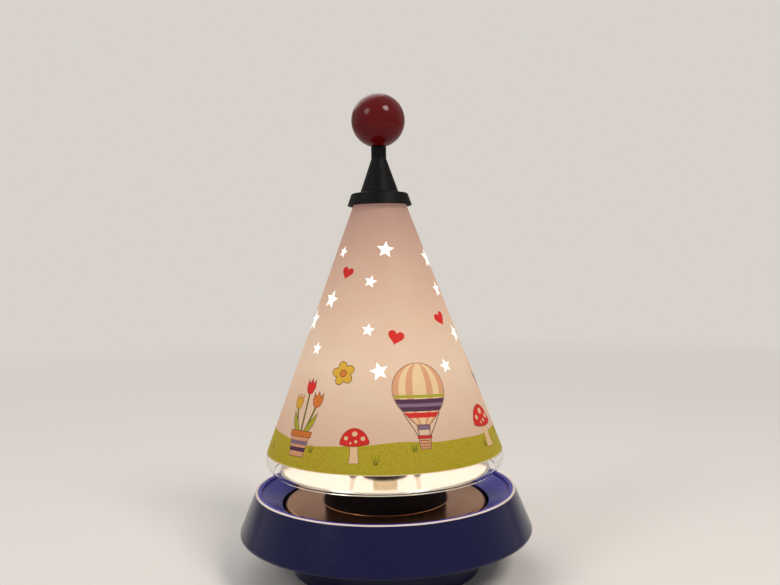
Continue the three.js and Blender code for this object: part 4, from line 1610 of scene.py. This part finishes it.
# Azimuth in degrees and height in mm
TUFTS = [
    (-37, 84), (-4, 80), (14, 86), (57, 82), (78, 85),
    (112, 80), (160, 85), (-70, 80), (-90, 84), (-142, 83),
]
MEADOW_HEIGHT = 89.6
EDGE_WIDTH = 0.4


def meadow_edge(azimuth):
    """Distance up the slope of the meadow's upper edge, in low rolling waves."""
    waves = math.sin(3 * azimuth + 0.5) + 0.7 * math.sin(5 * azimuth + 1.4) + 0.3 * math.sin(11 * azimuth)
    return up_slope(MEADOW_HEIGHT + waves)


def laid(points, azimuth, along, scale=1.0, turn=0.0):
    """Shape's points as places on the cone: (azimuth, distance up the slope), counted anticlockwise."""
    places = []
    for x, y in swung(points if signed_area(points) > 0 else points[::-1], turn):
        up = along + scale * y
        places.append((azimuth + scale * x / cone_radius(up), up))
    return places


def print_layers(angles):
    """Every shape of the print from the sheet upwards: its ink, and its outline on the cone."""
    foot = [(a, 0.0) for a in angles]
    fine = [math.pi * (k / SHADE_SIDES - 1) for k in range(2 * SHADE_SIDES + 1)]
    layers = [
        ("sheet", [*foot, *[(a, shade_slant) for a in reversed(angles)]]),
        ("meadow", [*foot, *[(a, meadow_edge(a)) for a in reversed(fine)]]),
        # A thin band of painted light along the sheet's lower cut edge
        ("edge", [*foot, *[(a, EDGE_WIDTH) for a in reversed(angles)]]),
    ]

    def add(shapes, *place):
        for ink, points in shapes:
            layers.append((ink, laid(points, *place)))

    for azimuth, height in TUFTS:
        add(tuft(), math.radians(azimuth), up_slope(height))
    for picture, azimuth, height, scale, turn in PICTURES:
        add(picture(), math.radians(azimuth), up_slope(height), scale, turn)
    for ink, shape, table in (("window", star, FRONT_STARS), ("red", heart, FRONT_HEARTS)):
        for x, y, size, turn in table:
            add([(ink, shape(size, turn))], *seen_at(x, y))
    for ink, shape, table in (
        ("window", star, BACK_STARS), ("window", crescent, BACK_MOONS), ("red", heart, BACK_HEARTS),
    ):
        for azimuth, height, size, turn in table:
            add([(ink, shape(size, turn))], math.radians(azimuth), up_slope(height))
    return layers


# Glow of each kind of ink, and how much of the meadow's specks it has
GLOWS = {"window": 1.6, "line": 0.55, "edge": 1.1}
SPECKLED = {"meadow": 1.0, "leaf": 0.35, "lime": 0.3}
# Flat width of the print for each radian while its shapes are cut, and how near points may be
SPREAD = 50
CUT_PRECISION = 1e-5
SEAM_PRECISION = 0.002


def cut_sheet(mesh, angles, names):
    """Outside of the shade, cut along every shape of the print; each face is tagged with its ink."""
    layers = print_layers(angles)
    points = []
    faces = []
    for _, outline in layers:
        faces.append(list(range(len(points), len(points) + len(outline))))
        points += [Vector((azimuth * SPREAD, along)) for azimuth, along in outline]
    edges = []
    for azimuth in angles[1:-1]:
        edges.append((len(points), len(points) + 1))
        points += [Vector((azimuth * SPREAD, 0)), Vector((azimuth * SPREAD, shade_slant))]
    verts, _, triangles, _, _, owners = geometry.delaunay_2d_cdt(points, edges, faces, 1, CUT_PRECISION)
    tag = mesh.faces.layers.int.new("kind")
    corners = [mesh.verts.new(on_cone(v.x / SPREAD, v.y)) for v in verts]
    for triangle, owner in zip(triangles, owners):
        mesh.faces.new([corners[i] for i in triangle])[tag] = names.index(layers[max(owner)][0])
    return tag


def printed_shade():
    """Cone of one sheet: its printed outside, lit inside, and a face at each end."""
    angles = [math.pi * (2 * k / SHADE_SIDES - 1) for k in range(SHADE_SIDES + 1)]
    names = [*INKS, "inside", "end"]
    mesh = bmesh.new()
    tag = cut_sheet(mesh, angles, names)
    ends = []
    for along in (0.0, shade_slant):
        for inward in (0.0, shade_wall_across):
            ends.append([mesh.verts.new(on_cone(azimuth, along, inward)) for azimuth in angles[:-1]])
    low_out, low_in, high_out, high_in = ends
    strips = ((low_in, low_out, "end"), (high_in, low_in, "inside"), (high_out, high_in, "end"))
    for lower, upper, kind in strips:
        for face in bridged(mesh, lower, upper):
            face[tag] = names.index(kind)
    bmesh.ops.remove_doubles(mesh, verts=mesh.verts, dist=SEAM_PRECISION * MM)
    piece = made("printed_shade", mesh, print_finish(), lit_inside, sheet_end)
    inked(piece.data, names)
    return piece


def inked(data, names):
    """Gives each face its material, ink, glow and specks, and the cone's own normals."""
    kinds = [names[item.value] for item in data.attributes["kind"].data]
    data.attributes.remove(data.attributes["kind"])
    ink = data.color_attributes.new("print_ink", "FLOAT_COLOR", "CORNER")
    traits = data.color_attributes.new("print_kind", "FLOAT_COLOR", "CORNER")
    data.polygons.foreach_set("material_index", [{"inside": 1, "end": 2}.get(kind, 0) for kind in kinds])
    normals = [None] * len(data.loops)
    rise = Vector((0, 0, math.sin(shade_angle)))
    for polygon, kind in zip(data.polygons, kinds):
        trait = (GLOWS.get(kind, 1.0), SPECKLED.get(kind, 0.0), float(kind == "window"), 1.0)
        for loop in polygon.loop_indices:
            point = data.vertices[data.loops[loop].vertex_index].co
            out = Vector((point.x, point.y, 0)).normalized() * math.cos(shade_angle) + rise
            normals[loop] = {"inside": -out, "end": polygon.normal}.get(kind, out)
            ink.data[loop].color = INKS.get(kind, INKS["sheet"])
            traits.data[loop].color = trait
    data.normals_split_custom_set(normals)


LIT_SHARE = 0.5
GLOW_SHARE = 0.52
NO_LIGHT = (0.0, 0.0, 0.0, 1.0)
WARM_CLOUD = tone(255, 236, 232)
DARK_SPECK = tone(112, 104, 22)
PALE_SPECK = tone(196, 184, 66)
# Painted light of the bulb through the sheet, by share of the shade's height: brightest from about a third
# to half way up; it tints both the base colour and the glow
HEIGHT_STOPS = [
    (0.0, tone(214, 208, 204)),
    (0.12, tone(220, 215, 210)),
    (0.36, tone(242, 245, 242)),
    (0.52, tone(236, 234, 230)),
    (0.78, tone(214, 203, 202)),
    (1.0, tone(182, 164, 170)),
]


def print_finish():
    """Translucent printed sheet lit from inside, brightest at mid height, with a specked meadow."""
    finish = Finish("print_finish", Emission_Strength=1.0, Specular_IOR_Level=0.12)
    ink = finish.node("ShaderNodeAttribute", {"attribute_name": "print_ink"}, outlet="Color")
    traits = finish.node("ShaderNodeAttribute", {"attribute_name": "print_kind"}, outlet="Color")
    channels = ("Red", "Green", "Blue")
    glow, speckled, window = finish.outlets("ShaderNodeSeparateColor", channels, {0: traits})
    height = (finish.axes()[2] - shade_low * MM) / ((shade_high - shade_low) * MM)
    clouds = finish.noise(30, 2)
    painted_bulb_light = finish.node("ShaderNodeValToRGB", {"stops": HEIGHT_STOPS}, {0: height})
    lit = finish.mixed(ink, painted_bulb_light, 1.0, "MULTIPLY")
    lit = finish.mixed(lit, finish.mixed(lit, WARM_CLOUD, 1.0, "MULTIPLY"), clouds)
    lit = finish.mixed(lit, ink, window)
    lit = finish.mixed(lit, DARK_SPECK, finish.specks(0.9, 0.38) * speckled * 0.4)
    lit = finish.mixed(lit, PALE_SPECK, finish.specks(1.3, 0.3) * speckled * 0.2)
    finish.feed("Base Color", finish.mixed(NO_LIGHT, lit, LIT_SHARE))
    finish.feed("Emission Color", finish.mixed(NO_LIGHT, lit, glow * GLOW_SHARE))
    finish.feed("Roughness", 0.5 + clouds * 0.08)
    finish.bump(finish.noise(1.4, 2), 0.008)
    return finish.material


settled(printed_shade(), "carousel", "shade_print", "shade_cone")


# Shade: its clear rim

# Depth below the rim's top and swell of its outside, as shares
RIM_SHARES = [(0, 0.9), (0.18, 0.97), (0.35, 1), (0.62, 0.86), (0.83, 0.5), (1, 0)]
RIM_LIP_RADIUS = 68.5
RIM_WALL = 0.6
RIM_SIDES = 288

rim_radius, rim_low, rim_high = reach("clear_rim")


def clear_rim():
    """Clear rim that carries the cone on, swells a little and curls in to a thick round lip."""
    curl = rim_radius - RIM_LIP_RADIUS
    tall = rim_high - rim_low
    outer = curved([(RIM_LIP_RADIUS + curl * out, rim_high - tall * down) for down, out in RIM_SHARES])
    inner = walled(outer, -RIM_WALL)
    lip_radius, lip_height = inner.pop()
    outline = [*outer, (lip_radius + 0.05, lip_height - 0.1), *reversed(inner)]
    return revolved("clear_rim_fine", outline, clear_plastic, RIM_SIDES)


rim_piece = settled(clear_rim(), "carousel", "clear_plastic", "clear_rim")
for piece in (rim_piece, bulb_glass):
    piece.visible_shadow = False
    piece.visible_diffuse = False


# Turbine wheel

VANES = 9
VANE_PITCH = math.radians(35)
VANE_CHORD = 8
VANE_THICKNESS = 0.8
VANE_CAMBER = 0.5
VANE_ROOT_SHARE = 0.4
VANE_EDGE_SHARE = 0.35
VANE_IN_HUB = 0.4
VANE_IN_RIM = 0.36
VANE_STEPS = 8
HUB_RADIUS = 5.5
HUB_CUP_RADIUS = 3.5
HUB_CUP_DEPTH = 6.8
HUB_SEAT = 8.5
SPINDLE_HOLE = 1.8
WHEEL_RIM_HEIGHT = 5
WHEEL_RIM_WALL = 1.2
WHEEL_RIM_ABOVE_FOOT = 2.5
WHEEL_GAP = 0.35

_, wheel_low, wheel_high = reach("turbine_wheel")


def grid_edge(rows):
    """Corners round the edge of a grid, in order."""
    return [*rows[0], *[row[-1] for row in rows[1:]], *rows[-1][-2::-1], *[row[0] for row in rows[-2:0:-1]]]


def vane_blade(inner, outer, middle):
    """Thin cambered vane from the hub to the rim, pitched about its length."""
    steps = VANE_STEPS
    mesh = bmesh.new()
    grids = []
    for side in (1, -1):
        rows = []
        for i in range(steps + 1):
            share = i / steps
            chord = VANE_CHORD * (VANE_ROOT_SHARE + (1 - VANE_ROOT_SHARE) * share)
            row = []
            for k in range(steps + 1):
                arch = 1 - (2 * k / steps - 1) ** 2
                half = VANE_THICKNESS / 2 * (VANE_EDGE_SHARE + (1 - VANE_EDGE_SHARE) * arch)
                z = VANE_CAMBER * arch + side * half
                place = Vector((inner + (outer - inner) * share, (k / steps - 0.5) * chord, z))
                row.append(mesh.verts.new(place * MM))
            rows.append(row)
        for a, b in zip(rows, rows[1:]):
            for k in range(steps):
                mesh.faces.new([a[k], b[k], b[k + 1], a[k + 1]])
        grids.append(rows)
    bridged(mesh, *[grid_edge(rows) for rows in grids])
    bmesh.ops.recalc_face_normals(mesh, faces=mesh.faces)
    blade = made("vane", mesh, white_plastic)
    return moved(blade, z=middle, turn=Matrix.Rotation(VANE_PITCH, 4, "X"))


def turbine():
    """Hub, rim and vanes."""
    low = wheel_low + WHEEL_RIM_ABOVE_FOOT
    high = low + WHEEL_RIM_HEIGHT

    def inside(height):
        return shade_radius - (height - shade_low) * shade_slope - shade_wall_across - WHEEL_GAP

    rim = turned(
        "wheel_rim", white_plastic,
        (inside(low) - WHEEL_RIM_WALL, low, 0.3),
        (inside(low), low, 0.3),
        (inside(high), high, 0.3),
        (inside(high) - WHEEL_RIM_WALL, high, 0.3),
        steps=3,
    )
    hub = turned(
        "wheel_hub", white_plastic,
        (HUB_CUP_RADIUS, wheel_low, 0.3),
        (HUB_RADIUS, wheel_low, 0.5),
        (HUB_RADIUS, wheel_high, 0.9),
        (SPINDLE_HOLE, wheel_high, 0.3),
        (SPINDLE_HOLE, wheel_low + HUB_SEAT),
        (0, wheel_low + HUB_SEAT),
        (0, wheel_low + HUB_CUP_DEPTH),
        (HUB_CUP_RADIUS, wheel_low + HUB_CUP_DEPTH),
        sides=SMALL_SIDES,
    )
    tip = inside(high) - WHEEL_RIM_WALL + VANE_IN_RIM
    vane = vane_blade(HUB_RADIUS - VANE_IN_HUB, tip, (low + high) / 2)
    return merged("turbine", rim, hub, patterned("vanes", vane, white_plastic, VANES, 0))


settled(turbine(), "carousel", "white_plastic", "turbine_wheel")


# Finial and ball

SKIRT_HEIGHT = 7.5
SKIRT_WALL = 1.6
SKIRT_UPPER_RADIUS = 17.6
CONE_FOOT_RADIUS = 12
CONE_HEIGHT = 20.9
CONE_RISE = 0.9
CONE_WALL = 1.7
CONE_SOLID = 5
NECK_RADIUS = 4.7
BALL_RADIUS = 16.8
BALL_BORE_DEPTH = 8
BALL_STEPS = 56

finial_radius, finial_low, finial_high = reach("finial")
_, ball_low, ball_high = reach("ball")


def black_finial():
    """Bell-shaped skirt over the shade's top, a straight cone and a neck up to the ball."""
    skirt_top = finial_low + SKIRT_HEIGHT
    ceiling = skirt_top - SKIRT_WALL
    foot = skirt_top + CONE_RISE
    neck = foot + CONE_HEIGHT
    return turned(
        "black_finial", black_plastic,
        (finial_radius - SKIRT_WALL, finial_low, 0.3),
        (finial_radius, finial_low, 0.3),
        (SKIRT_UPPER_RADIUS, skirt_top, 1.1),
        (CONE_FOOT_RADIUS, foot, 0.3),
        (NECK_RADIUS, neck, 2.5),
        (NECK_RADIUS, finial_high, 0.25),
        (SPINDLE_HOLE, finial_high),
        (SPINDLE_HOLE, neck - CONE_SOLID),
        (CONE_FOOT_RADIUS - CONE_WALL, ceiling + CONE_RISE, 0.6),
        (SKIRT_UPPER_RADIUS - SKIRT_WALL, ceiling, 0.6),
    )


def red_ball():
    """Lacquered ball with a small flat where the neck meets it, and the spindle's bore."""
    centre = ball_high - BALL_RADIUS
    flat = math.asin((ball_low - centre) / BALL_RADIUS)
    skin = []
    for k in range(BALL_STEPS):
        angle = flat + (math.pi / 2 - flat) * k / BALL_STEPS
        skin.append((BALL_RADIUS * math.cos(angle), centre + BALL_RADIUS * math.sin(angle)))
    bore_high = ball_low + BALL_BORE_DEPTH
    bore = [(0, bore_high), (SPINDLE_HOLE, bore_high), (SPINDLE_HOLE, ball_low)]
    return revolved("red_ball", [*bore, *skin, (0, ball_high)], red_lacquer)


settled(black_finial(), "carousel", "black_plastic", "finial")
settled(red_ball(), "carousel", "red_lacquer", "ball")


# CAD nodes that keep their mesh

KEPT = [
    (black_plastic, "foot_cover"),
    (white_plastic, "terminal_block"),
    (brown_lead, "inner_lead_left"),
    (blue_lead, "inner_lead_right"),
    (brass, "contact_tongue"),
    (zinc_steel, "ring_screw_1", "ring_screw_2", "ring_screw_3"),
    (zinc_steel, "holder_tube", "tube_washer", "tube_nut", "spindle", "spindle_nut"),
]
for material, *kept_nodes in KEPT:
    for node in kept_nodes:
        slots = NODES[node].data.materials
        slots.clear()
        slots.append(material)


# Stage: floor, backdrop, world and lamps, in metres

BACKDROP = tone(226, 220, 213)
SHOWN_STRENGTH = 0.9
WORLD_LIGHT = (0.95, 0.96, 1.0, 1.0)
WORLD_STRENGTH = 0.42
FLOOR_NEAR = 0.25
FLOOR_FAR = 1.6
FLOOR_REACH = 2.6
FLOOR_HALF_WIDTH = 4.0
BACKDROP_HEIGHT = 2.2
SWEEP_RADIUS = 0.9
SWEEP_STEPS = 12
LAMP_AIM = Vector((0, 0, 0.15))


def pale_floor():
    """Floor that runs up into a backdrop in one sweep."""
    start = FLOOR_REACH - SWEEP_RADIUS
    profile = [(-FLOOR_REACH, 0.0), (start, 0.0)]
    for k in range(1, SWEEP_STEPS + 1):
        angle = math.pi / 2 * k / SWEEP_STEPS
        profile.append((start + SWEEP_RADIUS * math.sin(angle), SWEEP_RADIUS * (1 - math.cos(angle))))
    profile.append((FLOOR_REACH, BACKDROP_HEIGHT))
    mesh = bmesh.new()
    rows = [[mesh.verts.new((x, y, z)) for x in (-FLOOR_HALF_WIDTH, FLOOR_HALF_WIDTH)] for y, z in profile]
    for a, b in zip(rows, rows[1:]):
        mesh.faces.new([a[0], a[1], b[1], b[0]])
    made("pale_floor", mesh, floor_finish())


def floor_finish():
    """Pale matt floor that turns into the even backdrop away from the object, as the camera sees it."""
    finish = Finish("floor_finish")
    clouds = finish.noise(160, 3)
    finish.feed("Base Color", finish.shaded(BACKDROP, 0.98, 1, clouds))
    finish.feed("Roughness", 0.75 + clouds * 0.1)
    away = (finish.radius() - FLOOR_NEAR) / (FLOOR_FAR - FLOOR_NEAR)
    away = finish.maths("MINIMUM", finish.maths("MAXIMUM", away, 0.0), 1.0)
    seen = finish.node("ShaderNodeLightPath", outlet="Is Camera Ray")
    even = finish.node("ShaderNodeEmission", None, {"Color": BACKDROP, "Strength": SHOWN_STRENGTH})
    lit = Value(finish, finish.shader.outputs[0])
    mixed = finish.node("ShaderNodeMixShader", None, {0: seen * away, 1: lit, 2: even})
    finish.set_socket(finish.node_tree.nodes["Material Output"].inputs["Surface"], mixed)
    return finish.material


def soft_world():
    """Even light from all round; seen directly, mirrored or through glass it is the pale backdrop."""
    world = bpy.data.worlds.new("soft_world")
    world.use_nodes = True
    world.node_tree.nodes.clear()
    bpy.context.scene.world = world
    tree = Tree(world.node_tree)
    rays = ("Is Camera Ray", "Is Glossy Ray", "Is Transmission Ray")
    direct, mirrored_ray, through = tree.outlets("ShaderNodeLightPath", rays)
    seen = tree.maths("MAXIMUM", tree.maths("MAXIMUM", direct, mirrored_ray), through)
    light = tree.node("ShaderNodeBackground", None, {"Color": WORLD_LIGHT, "Strength": WORLD_STRENGTH})
    shown = tree.node("ShaderNodeBackground", None, {"Color": BACKDROP, "Strength": SHOWN_STRENGTH})
    mixed = tree.node("ShaderNodeMixShader", None, {0: seen, 1: light, 2: shown})
    tree.node("ShaderNodeOutputWorld", None, {"Surface": mixed})


def soft_lamp(name, azimuth, elevation, distance, size, power, colour):
    """Round softbox that looks at the object's middle."""
    data = bpy.data.lights.new(name, "AREA")
    data.shape = "DISK"
    data.size = size
    data.energy = power
    data.color = colour
    a, e = math.radians(azimuth), math.radians(elevation)
    way = Vector((math.sin(a) * math.cos(e), -math.cos(a) * math.cos(e), math.sin(e)))
    place = LAMP_AIM + distance * way
    turn = (LAMP_AIM - place).to_track_quat("-Z", "Y").to_matrix().to_4x4()
    placed(name, data).matrix_world = Matrix.Translation(place) @ turn


pale_floor()
soft_world()
soft_lamp("key_light", 42, 46, 1.8, 0.6, 17, (1.0, 0.96, 0.9))
soft_lamp("fill_light", -52, 34, 1.9, 0.7, 8, (0.98, 0.99, 1.0))
soft_lamp("back_light", -155, 50, 1.9, 1.8, 9, (1.0, 1.0, 1.0))

bpy.context.scene.view_settings.view_transform = "Standard"

bpy.context.view_layer.update()
